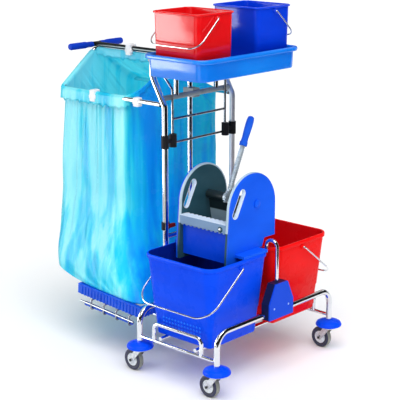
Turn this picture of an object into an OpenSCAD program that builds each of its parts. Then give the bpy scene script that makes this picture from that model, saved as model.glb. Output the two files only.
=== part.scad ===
// Janitor cart: a chrome tube base on four swivel casters carries two mop buckets,
// a lever wringer, a mast with a top tray and two small buckets, and a waste bag
// on a frame under a T-shaped push handle.
// Lengths are in millimetres. The floor is z = 0 and x = 0 is the cart's centre line.
// Inside the modules y = 0 is the front caster line; on_floor() moves the finished
// pieces so that the origin lies under the middle of the whole cart.

/* [Base frame] */
// Distance between the casters across the cart
caster_span_x = 600; // [580:1:680]
// Distance between the front and the rear casters
caster_span_y = 346; // [340:1:400]
// Diameter of the side rail tubes
rail_d = 20; // [16:0.5:24]
// Height of the side rails' axis
rail_z = 222; // [216:1:240]
// Bend radius of the side rails
rail_bend_r = 50; // [35:1:70]
// Diameter of the end rails between the legs
end_rail_d = 12; // [10:0.5:16]
// Height of the end rails' axis
end_rail_z = 128; // [124:1:134]
// Diameter of the end guards and of the runners under the buckets
guard_d = 14; // [10:0.5:14]
// Height of the end guards' top
guard_z = 190; // [180:1:196]
// Distance between the two legs of an end guard
guard_span = 212; // [180:1:230]

/* [Casters] */
// Diameter of the bumper discs
bumper_d = 92; // [80:1:110]
// Thickness of the bumper discs
bumper_t = 26; // [22:1:30]
// Diameter of the wheels
wheel_d = 76; // [60:1:80]
// Width of the wheels
wheel_w = 22; // [18:1:26]
// Diameter of the wheel hubs
hub_d = 50; // [40:1:54]
// Distance of the axle behind the swivel axis
caster_trail = 30; // [24:1:36]
// Diameter of the wheel axles
axle_d = 8; // [6:0.5:10]
// Diameter of the swivel stems
stem_d = 12; // [10:0.5:16]
// Radial clearance of pins, axles and stems in their bores
running_fit = 0.06; // [0.02:0.01:0.1]

/* [Mop buckets] */
// How far a mop bucket's rim stands out past the caster line
bucket_overhang = 13; // [4:1:16]
// Gap between a mop bucket's rim and the side rails' axes
bucket_rail_gap = 17; // [16:1:26]
// How far the mop buckets stand forward of the middle between the rails
bucket_shift = 3.5; // [3:0.5:6]
// Gap between the two rims
bucket_gap = 18; // [16:1:24]
// Height of a mop bucket
bucket_h = 282; // [260:1:300]
// Corner radius at the rim
bucket_corner_r = 48; // [46:1:70]
// How far the sides draw in from the rim to the bottom
bucket_draw = 28; // [22:1:34]
// Wall thickness of all buckets
bucket_wall = 3; // [2:0.5:4]
// Overhang of the rim past the wall
lip_out = 5; // [4:0.5:6]
// Height of the rim band
lip_h = 14; // [10:1:16]
// Height above the bottom of the step in the sides
step_h = 90; // [60:1:120]
// Diameter of the mop bucket bails' wire
bail_d = 6; // [4:0.5:6]
// How far a hanging mop bucket bail stands off the rim
bail_off = 22.4; // [16:0.1:30]
// Angle of a hanging mop bucket bail below level
bail_hang = 38; // [30:1:44]

/* [Wringer] */
// Width of the wringer over its covers
wringer_w = 228; // [216:1:230]
// Distance of the wringer's round top from the bucket's inner rim
wringer_back = 51; // [47:1:56]
// Radius of the round top of the cheeks
cheek_r = 115; // [106:1:117]
// Height of the round top's centre above the bucket's rim
cheek_rise = 150; // [144:1:170]
// Thickness of a cheek plate
cheek_t = 8; // [5:0.5:10]
// Thickness of a cover
cover_t = 6; // [4:0.5:8]
// Depth of the cheeks inside the bucket
cheek_dip = 38; // [20:1:60]
// Length of the hand slots
slot_l = 104; // [76:1:112]
// Width of the hand slots
slot_w = 30; // [20:1:32]
// Diameter of the press shaft
shaft_d = 16; // [12:0.5:18]
// Length of the moving jaw below the shaft
jaw_l = 146; // [120:1:150]
// Thickness of the jaws
jaw_t = 7; // [5:0.5:9]
// Diameter of the lever
lever_d = 16; // [12:0.5:18]
// Length of the lever from the shaft to the top of its grip
lever_l = 286; // [260:1:290]
// Lean of the lever from upright
lever_lean = 25; // [23:1:32]
// Length of the lever's grip
lever_grip_l = 105; // [90:1:125]
// Diameter of the lever's grip
lever_grip_d = 27; // [24:1:32]

/* [Mast] */
// Distance between the uprights
mast_span = 342; // [320:1:360]
// Diameter of the uprights
mast_d = 20; // [16:0.5:22]
// Height where the uprights lean back
mast_bend_z = 894; // [880:1:910]
// Lean of the sloping stretch
mast_lean = 30; // [26:1:34]
// How far the uprights step back behind the tray
mast_setback = 56; // [52:1:64]
// Diameter of the crossbars
crossbar_d = 18; // [14:0.5:20]
// Height of the upper crossbar
crossbar_z = 919; // [912:1:926]
// Height of the lower crossbar
tie_z = 450; // [440:1:500]
// Distance between the tray posts
post_span = 200; // [170:1:230]
// Diameter of the tray posts
post_d = 16; // [12:0.5:18]
// Diameter of the rack's wire
rack_wire_d = 8; // [6:0.5:10]
// Distance between the rack's side wires
rack_span = 266; // [240:1:280]
// Height of the rack's lower end
rack_low_z = 752; // [740:1:765]
// Height of the rack's middle rail above its lower end
rack_rail_rise = 96; // [80:1:110]

/* [Tray] */
// Width of the tray over its lip
tray_w = 506; // [490:1:530]
// Length of the tray over its lip
tray_l = 276; // [266:1:290]
// Height of the tray's floor from below
tray_z = 1003; // [1002:1:1012]
// Depth of the tray
tray_h = 72; // [60:1:80]
// Corner radius of the lip
tray_corner_r = 46; // [40:1:60]
// Overhang of the tray's lip
tray_lip = 13; // [10:1:16]
// Wall thickness of the tray
tray_wall = 4; // [3:0.5:5]

/* [Small buckets] */
// Distance of a small bucket's rim from the tray's side edge
small_side_gap = 15; // [13:1:22]
// Distance of a small bucket's rim from the tray's front and back edges
small_end_gap = 33; // [24:1:40]
// Gap between the two small buckets' rims
small_gap = 104; // [92:1:116]
// Height of a small bucket
small_h = 208; // [190:1:220]
// Corner radius of a small bucket's rim
small_corner_r = 26; // [24:1:40]
// How far a small bucket draws in
small_draw = 5; // [3:1:8]
// Diameter of the small bails' wire
small_bail_d = 5; // [3:0.5:5]
// How far a hanging small bail stands off the rim
small_bail_off = 7; // [4:0.5:10]
// Angle of a hanging small bail below level
small_bail_hang = 42; // [36:1:46]

/* [Push handle] */
// Diameter of the handle tube
handle_d = 18; // [14:0.5:20]
// Height of the handle's stem
handle_z = 1042; // [1036:1:1050]
// Distance of the handle's crossbar behind the front casters
handle_y = 853; // [840:1:870]
// Bend radius of the handle tube
handle_bend_r = 55; // [40:1:70]
// Length of the handle's crossbar
handle_bar_l = 250; // [240:1:280]
// Length of a handle grip
grip_l = 110; // [90:1:110]
// Diameter of a handle grip
grip_d = 27; // [24:1:32]

/* [Bag frame and bag] */
// Diameter of the bag frame's tube
bag_tube_d = 16; // [12:0.5:18]
// Height of the bag frame's arms
bag_arm_z = 899; // [895:1:906]
// Distance of the frame's end behind the front casters
bag_end_y = 851; // [840:1:870]
// Bend radius at the frame's corners
bag_bend_r = 28; // [20:1:36]
// Thickness of the bag's solid wall
bag_wall = 3; // [2:0.5:5]
// Bulge of the bag past its frame
bag_bulge = 30; // [10:1:36]
// Distance of the bag from the mast on the mouth's side
bag_left_gap = 186; // [170:1:200]
// Distance of the bag from the mast on the other side
bag_right_gap = 46; // [40:1:120]
// How far the bag's foot stays inside the platform's sides
bag_foot_in = 9; // [4:1:20]

/* [Bag platform] */
// Width of the platform
platform_w = 510; // [480:1:540]
// Length of the platform
platform_l = 314; // [290:1:340]
// Height of the platform's edge
platform_h = 36; // [28:1:40]
// Height of the platform's top at the mast
platform_z = 204; // [196:1:210]
// Distance of the platform behind the rear rail
platform_gap = 40; // [34:1:50]
// Upward tilt of the platform
platform_tilt = 4; // [0:0.5:6]
// Spacing of the ribs on the platform's edge
rib_pitch = 16; // [12:1:24]
// Thickness of the platform's plastic
platform_t = 4; // [3:0.5:5]
// Diameter of the wires under the platform
platform_wire_d = 7; // [5:0.5:8]
// Spacing of the wires under the platform
platform_wire_pitch = 63; // [56:1:68]

/* [Hook] */
// Width of the hook's bracket at the rail
bracket_w = 125; // [110:1:140]
// Height of the bracket above and below the rail
bracket_h = 120; // [110:1:130]
// Thickness of the bracket
bracket_t = 36; // [32:1:40]
// Diameter of the hook's rod
hook_d = 12; // [8:0.5:12]
// Height of the hook's top
hook_top_z = 468; // [450:1:480]
// Reach of the hook over the buckets
hook_reach = 46; // [40:1:50]

/* [Hidden] */
$fn = 64;
seat_gap = 0.3;
chrome = [0.80, 0.82, 0.84];
cart_blue = [0.10, 0.27, 0.85];
cart_red = [0.80, 0.08, 0.10];
press_grey = [0.36, 0.45, 0.49];
light_grey = [0.78, 0.81, 0.83];
tyre_grey = [0.42, 0.42, 0.42];
clip_black = [0.08, 0.08, 0.09];
film_cyan = [0.45, 0.78, 0.95];

half_span = caster_span_x / 2;
mid_y = caster_span_y / 2;
corner_names = ["fl", "fr", "rl", "rr"];
corner_spots = [
    [-half_span, 0],
    [half_span, 0],
    [-half_span, caster_span_y],
    [half_span, caster_span_y]
];

// Casters, from the floor up
wheel_z = wheel_d / 2;
fork_gap = 1.5;
fork_wall = 3;
fork_cap_t = 5;
fork_top = wheel_d + fork_gap + fork_cap_t;
bumper_z = fork_top + seat_gap;
leg_foot_z = bumper_z + bumper_t;
stem_rise = bumper_t * 0.7;
fork_leg_x = wheel_w / 2 + fork_gap;
fork_cap_r = fork_leg_x + fork_wall + 6;

// Runners rest on the end rails and carry the mop buckets
runner_z = end_rail_z + (end_rail_d + guard_d) / 2;
bucket_z = runner_z + guard_d / 2 + seat_gap;
rim_z = bucket_z + bucket_h;
bucket_w = half_span + bucket_overhang - bucket_gap / 2;
bucket_l = caster_span_y - 2 * bucket_rail_gap;
bucket_x = (bucket_gap + bucket_w) / 2;
bucket_y = mid_y - bucket_shift;
bail_reach = (bucket_w / 2 + bail_off) / cos(bail_hang);
ear_r = 9;
ear_z = rim_z - lip_h - ear_r - 1;
arm_clear = 3;

// Wringer on the left bucket
cheek_x = -bucket_gap / 2 - wringer_back;
cheek_z = rim_z + cheek_rise;
cheek_inner = wringer_w / 2 - cheek_t - cover_t;
lever_side = 12;
shaft_dx = 18;
shaft_dz = 10;
shaft_x = cheek_x + shaft_dx;
shaft_z = cheek_z + shaft_dz;
sleeve_r = shaft_d / 2 + 7;
lever_hub_w = 20;
jaw_lean = 10;
panel_t = 6;
foot_room = 9;
front_foot = cheek_r * 1.1;
ledge_drop = cheek_rise * 0.435;
ledge_t = 27;
overhang_gap = 36;

// Mast and tray
mast_x = mast_span / 2;
mast_top_y = caster_span_y + mast_setback;
mast_slope_rise = mast_setback / tan(mast_lean);
crossbar_y = caster_span_y + (crossbar_z - mast_bend_z) * tan(mast_lean);
tray_gap = 12;
tray_back_y = mast_top_y - mast_d / 2 - tray_gap;
tray_y = tray_back_y - tray_l / 2;
tray_top = tray_z + tray_h;
beam_h = 18;
beam_z = tray_top - tray_lip - beam_h - 2;
rack_x = rack_span / 2;
rack_y = crossbar_y - (crossbar_d + rack_wire_d) / 2;
rack_bend_z = crossbar_z + 30;
rack_foot_rail_z = rack_low_z + 2 * rack_wire_d;
rack_top_y = tray_back_y + 4;
rack_top_z = rack_bend_z + (rack_top_y - rack_y);
small_w = (tray_w - small_gap) / 2 - small_side_gap;
small_l = tray_l - 2 * small_end_gap;
small_x = (small_gap + small_w) / 2;
small_bail_reach = (small_w / 2 + small_bail_off) / cos(small_bail_hang);
small_z = tray_z + tray_wall + seat_gap;
small_band = 6;
small_step = 60;
small_ear_z = small_z + small_h - small_band - ear_r - 1;

// Push handle and bag frame
handle_tube_y = tray_back_y + seat_gap + handle_d / 2 + 2;
handle_low_z = tie_z - 25;
ridge_bend = bag_bend_r;
ridge_low_z = handle_z - handle_d / 2 - bag_tube_d / 2;
ridge_slope = atan((ridge_low_z - bag_arm_z) / mast_x);
ridge_z = ridge_low_z + ridge_bend * (1 / cos(ridge_slope) - 1);
arm_start_y = caster_span_y + (bag_arm_z + bag_tube_d / 2 - mast_bend_z) * tan(mast_lean)
    + mast_d / 2 / cos(mast_lean) + seat_gap;

// Bag platform
platform_y = caster_span_y + platform_gap;
platform_arm_d = 12;
platform_arm_x = platform_w / 2 - 90;
platform_wire_z = -platform_h - platform_wire_d / 2;
platform_arm_z = platform_wire_z - (platform_wire_d + platform_arm_d) / 2;

// Bag
bag_half_x = mast_x - bag_tube_d / 2 - seat_gap;
bag_far_y = bag_end_y - bag_tube_d / 2 - seat_gap;
bag_left_y = caster_span_y + bag_left_gap;
bag_right_y = caster_span_y + bag_right_gap;
bag_ridge_back = 60;
bag_neck = 0.62;
bag_foot_x = platform_w / 2 - bag_foot_in;
bag_foot_near_y = platform_y + 4;
bag_foot_far_y = platform_y + platform_l;
bag_belly_level = 0.12;
clip_back = 180;
clip_l = 16;
clip_t = 3;
bag_points = 36;
bag_levels = 12;

// Whole cart
front_y = -bumper_d / 2;
back_y = bag_end_y + bag_bulge;
cart_mid_y = (front_y + back_y) / 2;

// Moves a piece from the caster line to the frame under the cart's middle.
module on_floor() {
    translate([0, -cart_mid_y, 0]) children();
}

function unit(v) = v / norm(v);
function turn_at(a, b, c) = acos(unit(b - a) * unit(c - b));

// A round bar between two points.
module rod(from, to, d) {
    span = to - from;
    translate(from)
        rotate([0, acos(span[2] / norm(span)), atan2(span[1], span[0])])
            cylinder(d = d, h = norm(span));
}

// A quarter or part ring that joins two straight stretches meeting at corner.
module elbow(before, corner, after, d, bend_r) {
    into = unit(corner - before);
    out = unit(after - corner);
    turn = turn_at(before, corner, after);
    centre = corner + unit(out - into) * bend_r / cos(turn / 2);
    start = corner - into * bend_r * tan(turn / 2);
    radial = (start - centre) / bend_r;
    normal = cross(radial, into);
    multmatrix([
        [radial[0], into[0], normal[0], centre[0]],
        [radial[1], into[1], normal[1], centre[1]],
        [radial[2], into[2], normal[2], centre[2]],
        [0, 0, 0, 1]
    ])
        rotate_extrude(angle = turn) translate([bend_r, 0]) circle(d = d);
}

// A tube that runs through points and is bent at each inner one. bend_r is one radius
// for all bends, or a list with one radius per point.
module bent_tube(points, d, bend_r) {
    last = len(points) - 1;
    radii = is_list(bend_r) ? bend_r : [for (i = [0:last]) bend_r];
    trims = [
        for (i = [0:last])
            i == 0 || i == last ? 0 : radii[i] * tan(turn_at(points[i - 1], points[i], points[i + 1]) / 2)
    ];
    union() {
        for (i = [0:last - 1]) {
            along = unit(points[i + 1] - points[i]);
            rod(points[i] + along * trims[i], points[i + 1] - along * trims[i + 1], d);
        }
        for (i = [1:last - 1]) {
            into = unit(points[i] - points[i - 1]);
            out = unit(points[i + 1] - points[i]);
            elbow(points[i - 1], points[i], points[i + 1], d, radii[i]);
            bead(points[i] - into * trims[i], into, d);
            bead(points[i] + out * trims[i], out, d);
        }
    }
}

// A hair-thin bead that closes the seam between a straight stretch and its bend.
module bead(spot, along, d) {
    bead_t = 0.8;
    bead_out = 0.3;
    rod(spot - along * bead_t / 2, spot + along * bead_t / 2, d + bead_out);
}

// Sweeps a wall section round a rounded rectangle. The section's x is measured
// from the centre of the corner arcs and its y is the height.
module swept_wall(half_w, half_l, corner_r) {
    in_x = half_w - corner_r;
    in_y = half_l - corner_r;
    for (turn = [0:3]) {
        sx = turn == 0 || turn == 3 ? 1 : -1;
        sy = turn < 2 ? 1 : -1;
        translate([sx * in_x, sy * in_y, 0])
            rotate([0, 0, turn * 90])
                rotate_extrude(angle = 90) children();
    }
    for (side = [0, 180]) {
        rotate([0, 0, side])
            translate([in_x, in_y, 0])
                rotate([90, 0, 0]) linear_extrude(2 * in_y) children();
        rotate([0, 0, side + 90])
            translate([in_y, in_x, 0])
                rotate([90, 0, 0]) linear_extrude(2 * in_x) children();
    }
}

// An open tub with a drawn-in wall, a step in the side and a turned-out lip.
module tub(w, l, h, corner_r, draw, wall, lip, band, step) {
    wall_r = corner_r - lip;
    foot_r = wall_r - draw;
    step_in = 3;
    step_r = wall_r - draw * (1 - step / (h - band));
    swept_wall(w / 2, l / 2, corner_r)
        polygon([
            [0, 0],
            [foot_r - step_in, 0],
            [step_r - step_in, step],
            [step_r, step + step_in],
            [wall_r, h - band],
            [corner_r, h - band],
            [corner_r, h],
            [wall_r - wall, h],
            [step_r - wall, step + step_in],
            [step_r - step_in - wall, step],
            [foot_r - step_in - wall, wall],
            [0, wall]
        ]);
    translate([corner_r - w / 2, corner_r - l / 2, 0])
        cube([w - 2 * corner_r, l - 2 * corner_r, wall]);
}

// A bucket with bored ears under the lip at the middle of its two ends.
module bucket(w, l, h, corner_r, draw, band, step, pin_d) {
    ear_length = lip_out + 2 * bucket_wall;
    ear_height = h - band - ear_r - 1;
    difference() {
        union() {
            tub(w, l, h, corner_r, draw, bucket_wall, lip_out, band, step);
            for (side = [-1, 1])
                translate([0, side * (l / 2 - 0.5), ear_height])
                    rotate([side * 90, 0, 0])
                        cylinder(r = ear_r, h = ear_length - bucket_wall);
        }
        for (side = [-1, 1])
            translate([0, side * (l / 2 + 1), ear_height])
                rotate([side * 90, 0, 0])
                    cylinder(d = pin_d + 2 * running_fit, h = 2 * ear_length);
    }
}

// A wire hoop whose turned-in ends sit in a bucket's ears. It lies along side (-1 or 1)
// of the pivot axis and hangs by the given angle below level.
module bail(side, half_l, reach, hang, d) {
    arm_y = half_l + arm_clear + d / 2;
    pin_y = half_l - lip_out - 2 * bucket_wall;
    tip = [side * reach * cos(hang), 0, -reach * sin(hang)];
    corner = [0, arm_y, 0];
    pin_end = [0, pin_y, 0];
    round_r = reach * 0.3;
    bent_tube([-pin_end, -corner, tip - corner, tip + corner, corner, pin_end], d,
        [0, d, round_r, round_r, d, 0]);
}

// A caster's fork, drawn at the swivel axis: the stem, the cap, two side plates
// that reach back to the axle, and the axle with its heads.
module caster_fork(spot) {
    leg_top = wheel_d + fork_gap;
    eye_r = axle_d / 2 + 6;
    head_t = 3;
    axle_half = fork_leg_x + fork_wall;
    color(chrome) translate([spot[0], spot[1], 0]) {
        translate([0, 0, leg_top]) cylinder(r = fork_cap_r, h = fork_cap_t);
        translate([0, 0, leg_top]) cylinder(d = stem_d, h = fork_cap_t + seat_gap + stem_rise);
        difference() {
            union() {
                for (side = [-1, 1])
                    translate([side * (fork_leg_x + fork_wall / 2), 0, 0])
                        rotate([90, 0, 90])
                            linear_extrude(fork_wall, center = true) {
                                polygon([
                                    [-fork_cap_r * 0.6, leg_top],
                                    [fork_cap_r * 0.6, leg_top],
                                    [caster_trail + eye_r * 0.9, wheel_z + eye_r * 0.4],
                                    [caster_trail - eye_r * 0.6, wheel_z - eye_r * 0.8]
                                ]);
                                translate([caster_trail, wheel_z]) circle(r = eye_r);
                            }
            }
            rod([-axle_half - 1, caster_trail, wheel_z], [axle_half + 1, caster_trail, wheel_z], axle_d);
        }
        rod([-axle_half, caster_trail, wheel_z], [axle_half, caster_trail, wheel_z], axle_d);
        for (side = [-1, 1])
            rod([side * axle_half, caster_trail, wheel_z],
                [side * (axle_half + head_t), caster_trail, wheel_z], axle_d + 5);
    }
}

// A wheel's light hub with a dished face and the axle's bore.
module caster_hub(spot) {
    dish_r = hub_d / 2 - 5;
    boss_r = axle_d / 2 + 4;
    dish = 3;
    half = wheel_w / 2;
    color(light_grey)
        translate([spot[0], spot[1] + caster_trail, wheel_z])
            rotate([0, 90, 0])
                rotate_extrude()
                    polygon([
                        [axle_d / 2 + running_fit, -half],
                        [boss_r, -half],
                        [boss_r + dish, dish - half],
                        [dish_r, dish - half],
                        [dish_r + 2, -half],
                        [hub_d / 2, -half],
                        [hub_d / 2, half],
                        [dish_r + 2, half],
                        [dish_r, half - dish],
                        [boss_r + dish, half - dish],
                        [boss_r, half],
                        [axle_d / 2 + running_fit, half]
                    ]);
}

// A wheel's grey tyre, with round shoulders.
module caster_tyre(spot) {
    shoulder = 5;
    half = wheel_w / 2;
    color(tyre_grey)
        translate([spot[0], spot[1] + caster_trail, wheel_z])
            rotate([0, 90, 0])
                rotate_extrude() {
                    translate([hub_d / 2, -half]) square([wheel_d / 2 - shoulder - hub_d / 2, wheel_w]);
                    translate([hub_d / 2, shoulder - half])
                        square([wheel_d / 2 - hub_d / 2, wheel_w - 2 * shoulder]);
                    for (side = [-1, 1])
                        translate([wheel_d / 2 - shoulder, side * (half - shoulder)]) circle(r = shoulder);
                }
}

// Soft round discs between the legs and the casters, bored for the swivel stems.
module caster_bumpers() {
    edge = bumper_t / 2;
    color(cart_blue)
        for (spot = corner_spots)
            translate([spot[0], spot[1], bumper_z])
                difference() {
                    rotate_extrude() {
                        square([bumper_d / 2 - edge, bumper_t]);
                        intersection() {
                            translate([bumper_d / 2 - edge, edge]) circle(r = edge);
                            square([bumper_d, bumper_t]);
                        }
                    }
                    translate([0, 0, -1])
                        cylinder(d = stem_d + 2 * running_fit, h = stem_rise + seat_gap + 2);
                }
}

// A side rail: an upturned U whose legs stand on the bumpers.
module side_rail(y) {
    color(chrome)
        bent_tube([
            [-half_span, y, leg_foot_z],
            [-half_span, y, rail_z],
            [half_span, y, rail_z],
            [half_span, y, leg_foot_z]
        ], rail_d, rail_bend_r);
}
module rail_front() { side_rail(0); }
module rail_rear() { side_rail(caster_span_y); }

// The full run of an end rail, from leg axis to leg axis.
module end_rail_line(side) {
    x = side * half_span;
    rod([x, 0, end_rail_z], [x, caster_span_y, end_rail_z], end_rail_d);
}

// Thin rails that tie the front and the rear legs at each end.
module end_rails() {
    color(chrome)
        for (side = [-1, 1])
            difference() {
                end_rail_line(side);
                for (y = [0, caster_span_y])
                    translate([side * half_span, y, 0]) cylinder(d = rail_d, h = rail_z);
            }
}

// Upturned U guards on the end rails, which keep the buckets in.
module end_guards() {
    low_y = mid_y - guard_span / 2;
    high_y = mid_y + guard_span / 2;
    color(chrome)
        for (side = [-1, 1])
            difference() {
                bent_tube([
                    [side * half_span, low_y, end_rail_z],
                    [side * half_span, low_y, guard_z],
                    [side * half_span, high_y, guard_z],
                    [side * half_span, high_y, end_rail_z]
                ], guard_d, guard_d * 1.5);
                end_rail_line(side);
            }
}

// Two rods across the end rails, on which the mop buckets stand.
module bucket_runners() {
    runner_y = guard_span / 2 - 2 * guard_d;
    color(chrome)
        for (side = [-1, 1])
            rod([-half_span, mid_y + side * runner_y, runner_z],
                [half_span, mid_y + side * runner_y, runner_z], guard_d);
}

// An upright from the rear rail, which steps back to pass behind the tray.
module mast(side) {
    x = side * mast_x;
    color(chrome)
        difference() {
            bent_tube([
                [x, caster_span_y, rail_z],
                [x, caster_span_y, mast_bend_z],
                [x, mast_top_y, mast_bend_z + mast_slope_rise],
                [x, mast_top_y, beam_z + beam_h]
            ], mast_d, mast_d * 1.5);
            rod([x - mast_d, caster_span_y, rail_z], [x + mast_d, caster_span_y, rail_z], rail_d);
        }
}
module mast_left() { mast(-1); }
module mast_right() { mast(1); }

// The grey upper crossbar, fitted between the sloping stretches of the uprights.
module mast_crossbar() {
    color(press_grey)
        difference() {
            rod([-mast_x, crossbar_y, crossbar_z], [mast_x, crossbar_y, crossbar_z], crossbar_d);
            for (side = [-1, 1])
                rod([side * mast_x, caster_span_y, mast_bend_z],
                    [side * mast_x, mast_top_y, mast_bend_z + mast_slope_rise], mast_d);
        }
}

// The lower crossbar behind the mop buckets, cut to fit the uprights.
module mast_tie() {
    color(chrome)
        difference() {
            rod([-mast_x, caster_span_y, tie_z], [mast_x, caster_span_y, tie_z], crossbar_d);
            for (side = [-1, 1])
                translate([side * mast_x, caster_span_y, tie_z - crossbar_d])
                    cylinder(d = mast_d, h = 2 * crossbar_d);
        }
}

// Short posts from the upper crossbar to the tray's floor.
module tray_posts() {
    color(chrome)
        for (side = [-1, 1])
            difference() {
                translate([side * post_span / 2, crossbar_y, crossbar_z])
                    cylinder(d = post_d, h = tray_z - crossbar_z);
                rod([-mast_x, crossbar_y, crossbar_z], [mast_x, crossbar_y, crossbar_z], crossbar_d);
            }
}

// A bar behind the tray, under its lip, between the tray and the uprights.
module tray_beam() {
    beam_front_y = tray_back_y - tray_lip;
    color(press_grey)
        difference() {
            translate([-mast_x - mast_d, beam_front_y, beam_z])
                cube([2 * mast_x + 2 * mast_d, mast_top_y - beam_front_y, beam_h]);
            for (side = [-1, 1])
                translate([side * mast_x, mast_top_y, beam_z - 1]) cylinder(d = mast_d, h = beam_h + 2);
        }
}

// A wire rack in front of the mast: two bent side wires and two rails between them.
module wire_rack() {
    color(chrome) {
        for (side = [-1, 1])
            bent_tube([
                [side * rack_x, rack_y, rack_low_z],
                [side * rack_x, rack_y, rack_bend_z],
                [side * rack_x, rack_top_y, rack_top_z],
                [side * rack_x, rack_top_y, beam_z]
            ], rack_wire_d, rack_wire_d * 1.5);
        for (z = [rack_foot_rail_z, rack_low_z + rack_rail_rise])
            rod([-rack_x, rack_y, z], [rack_x, rack_y, z], rack_wire_d);
    }
}

// Black clamps that tie the rack's lower ends to the uprights.
module rack_clamps() {
    clamp_h = 44;
    clamp_t = 24;
    clamp_z = rack_low_z + rack_wire_d * 3;
    notch_h = 12;
    color(clip_black)
        for (side = [-1, 1])
            difference() {
                union() {
                    for (x = [rack_x, mast_x])
                        translate([side * x, caster_span_y, clamp_z])
                            cylinder(d = mast_d + 6, h = clamp_h, center = true);
                    translate([side * (rack_x + mast_x) / 2, caster_span_y, clamp_z])
                        cube([mast_x - rack_x, clamp_t / 2, notch_h], center = true);
                }
                translate([side * mast_x, caster_span_y, 0]) cylinder(d = mast_d, h = mast_bend_z);
                rod([side * rack_x, rack_y, rack_low_z], [side * rack_x, rack_y, rack_bend_z], rack_wire_d);
                rod([-rack_x, rack_y, rack_foot_rail_z], [rack_x, rack_y, rack_foot_rail_z], rack_wire_d);
            }
}

// A small dark spring clip pushed on the left upright from behind, open to the front so that the blue
// bucket's bail passes it, with a finger that points inwards.
module tool_clip() {
    clip_z = 474;
    clip_h = 26;
    clip_wall = 4;
    finger_l = 34;
    mouth_y = caster_span_y - 6;
    color(clip_black)
        difference() {
            union() {
                translate([-mast_x, caster_span_y, clip_z]) cylinder(d = mast_d + 2 * clip_wall, h = clip_h);
                translate([-mast_x, caster_span_y - 5, clip_z + 4])
                    cube([mast_d / 2 + finger_l, 10, 10]);
            }
            translate([-mast_x, caster_span_y, clip_z - 1]) cylinder(d = mast_d, h = clip_h + 2);
            translate([-mast_x - mast_d, mouth_y - mast_d, clip_z - 1]) cube([2 * mast_d, mast_d, clip_h + 2]);
        }
}

// The open top tray with its wide lip.
module tray() {
    foot_r = tray_corner_r - tray_lip - 6;
    wall_r = tray_corner_r - tray_lip;
    band = tray_lip;
    color(cart_blue)
        translate([0, tray_y, tray_z]) {
            swept_wall(tray_w / 2, tray_l / 2, tray_corner_r)
                polygon([
                    [0, 0],
                    [foot_r, 0],
                    [wall_r, tray_h - band],
                    [tray_corner_r, tray_h - band],
                    [tray_corner_r, tray_h],
                    [wall_r - tray_wall, tray_h],
                    [foot_r - tray_wall, tray_wall],
                    [0, tray_wall]
                ]);
            translate([tray_corner_r - tray_w / 2, tray_corner_r - tray_l / 2, 0])
                cube([tray_w - 2 * tray_corner_r, tray_l - 2 * tray_corner_r, tray_wall]);
        }
}

// The handle tube: it stands behind the tray and bends over to the rear as the stem.
module handle_tube() {
    color(chrome)
        difference() {
            bent_tube([
                [0, handle_tube_y, handle_low_z],
                [0, handle_tube_y, handle_z],
                [0, handle_y, handle_z]
            ], handle_d, handle_bend_r);
            rod([-handle_d, handle_y, handle_z], [handle_d, handle_y, handle_z], handle_d);
        }
}

// Blocks that hold the handle tube to the two crossbars.
module handle_clamps() {
    clamp_h = 30;
    clamp_w = handle_d + 14;
    color(clip_black)
        for (bar = [[crossbar_y, crossbar_z], [caster_span_y, tie_z]])
            difference() {
                translate([-clamp_w / 2, bar[0], bar[1] - clamp_h / 2])
                    cube([clamp_w, handle_tube_y - bar[0] + handle_d / 2 + 6, clamp_h]);
                rod([-mast_x, bar[0], bar[1]], [mast_x, bar[0], bar[1]], crossbar_d);
                translate([0, handle_tube_y, handle_low_z])
                    cylinder(d = handle_d, h = handle_z - handle_low_z);
            }
}

// The handle's crossbar, between and inside the two grips.
module handle_bar() {
    color(chrome)
        rod([-handle_bar_l / 2, handle_y, handle_z], [handle_bar_l / 2, handle_y, handle_z], handle_d);
}

// A round grip on one end of the crossbar, closed at the tip.
module grip(side) {
    cap_t = 4;
    color(cart_blue)
        translate([side * (handle_bar_l / 2 + cap_t), handle_y, handle_z])
            rotate([0, -side * 90, 0])
                difference() {
                    cylinder(d = grip_d, h = grip_l);
                    translate([0, 0, cap_t]) cylinder(d = handle_d, h = grip_l);
                }
}
module grip_left() { grip(-1); }
module grip_right() { grip(1); }

// One bent tube that carries the bag: two arms and a peak under the handle's stem.
module bag_frame() {
    color(chrome)
        bent_tube([
            [-mast_x, arm_start_y, bag_arm_z],
            [-mast_x, bag_end_y, bag_arm_z],
            [0, bag_end_y, ridge_z],
            [mast_x, bag_end_y, bag_arm_z],
            [mast_x, arm_start_y, bag_arm_z]
        ], bag_tube_d, bag_bend_r);
}

// The bag's outline at one level, as fractions of its half width and half length.
function soft_square(turn, sharp) = [
    sign(cos(turn)) * pow(abs(cos(turn)), sharp),
    sign(sin(turn)) * pow(abs(sin(turn)), sharp)
];

// Height of the bag's foot, which lies on the tilted platform.
function bag_foot_z(y) = platform_z + (y - platform_y) * tan(platform_tilt) + seat_gap / cos(platform_tilt);

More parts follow.
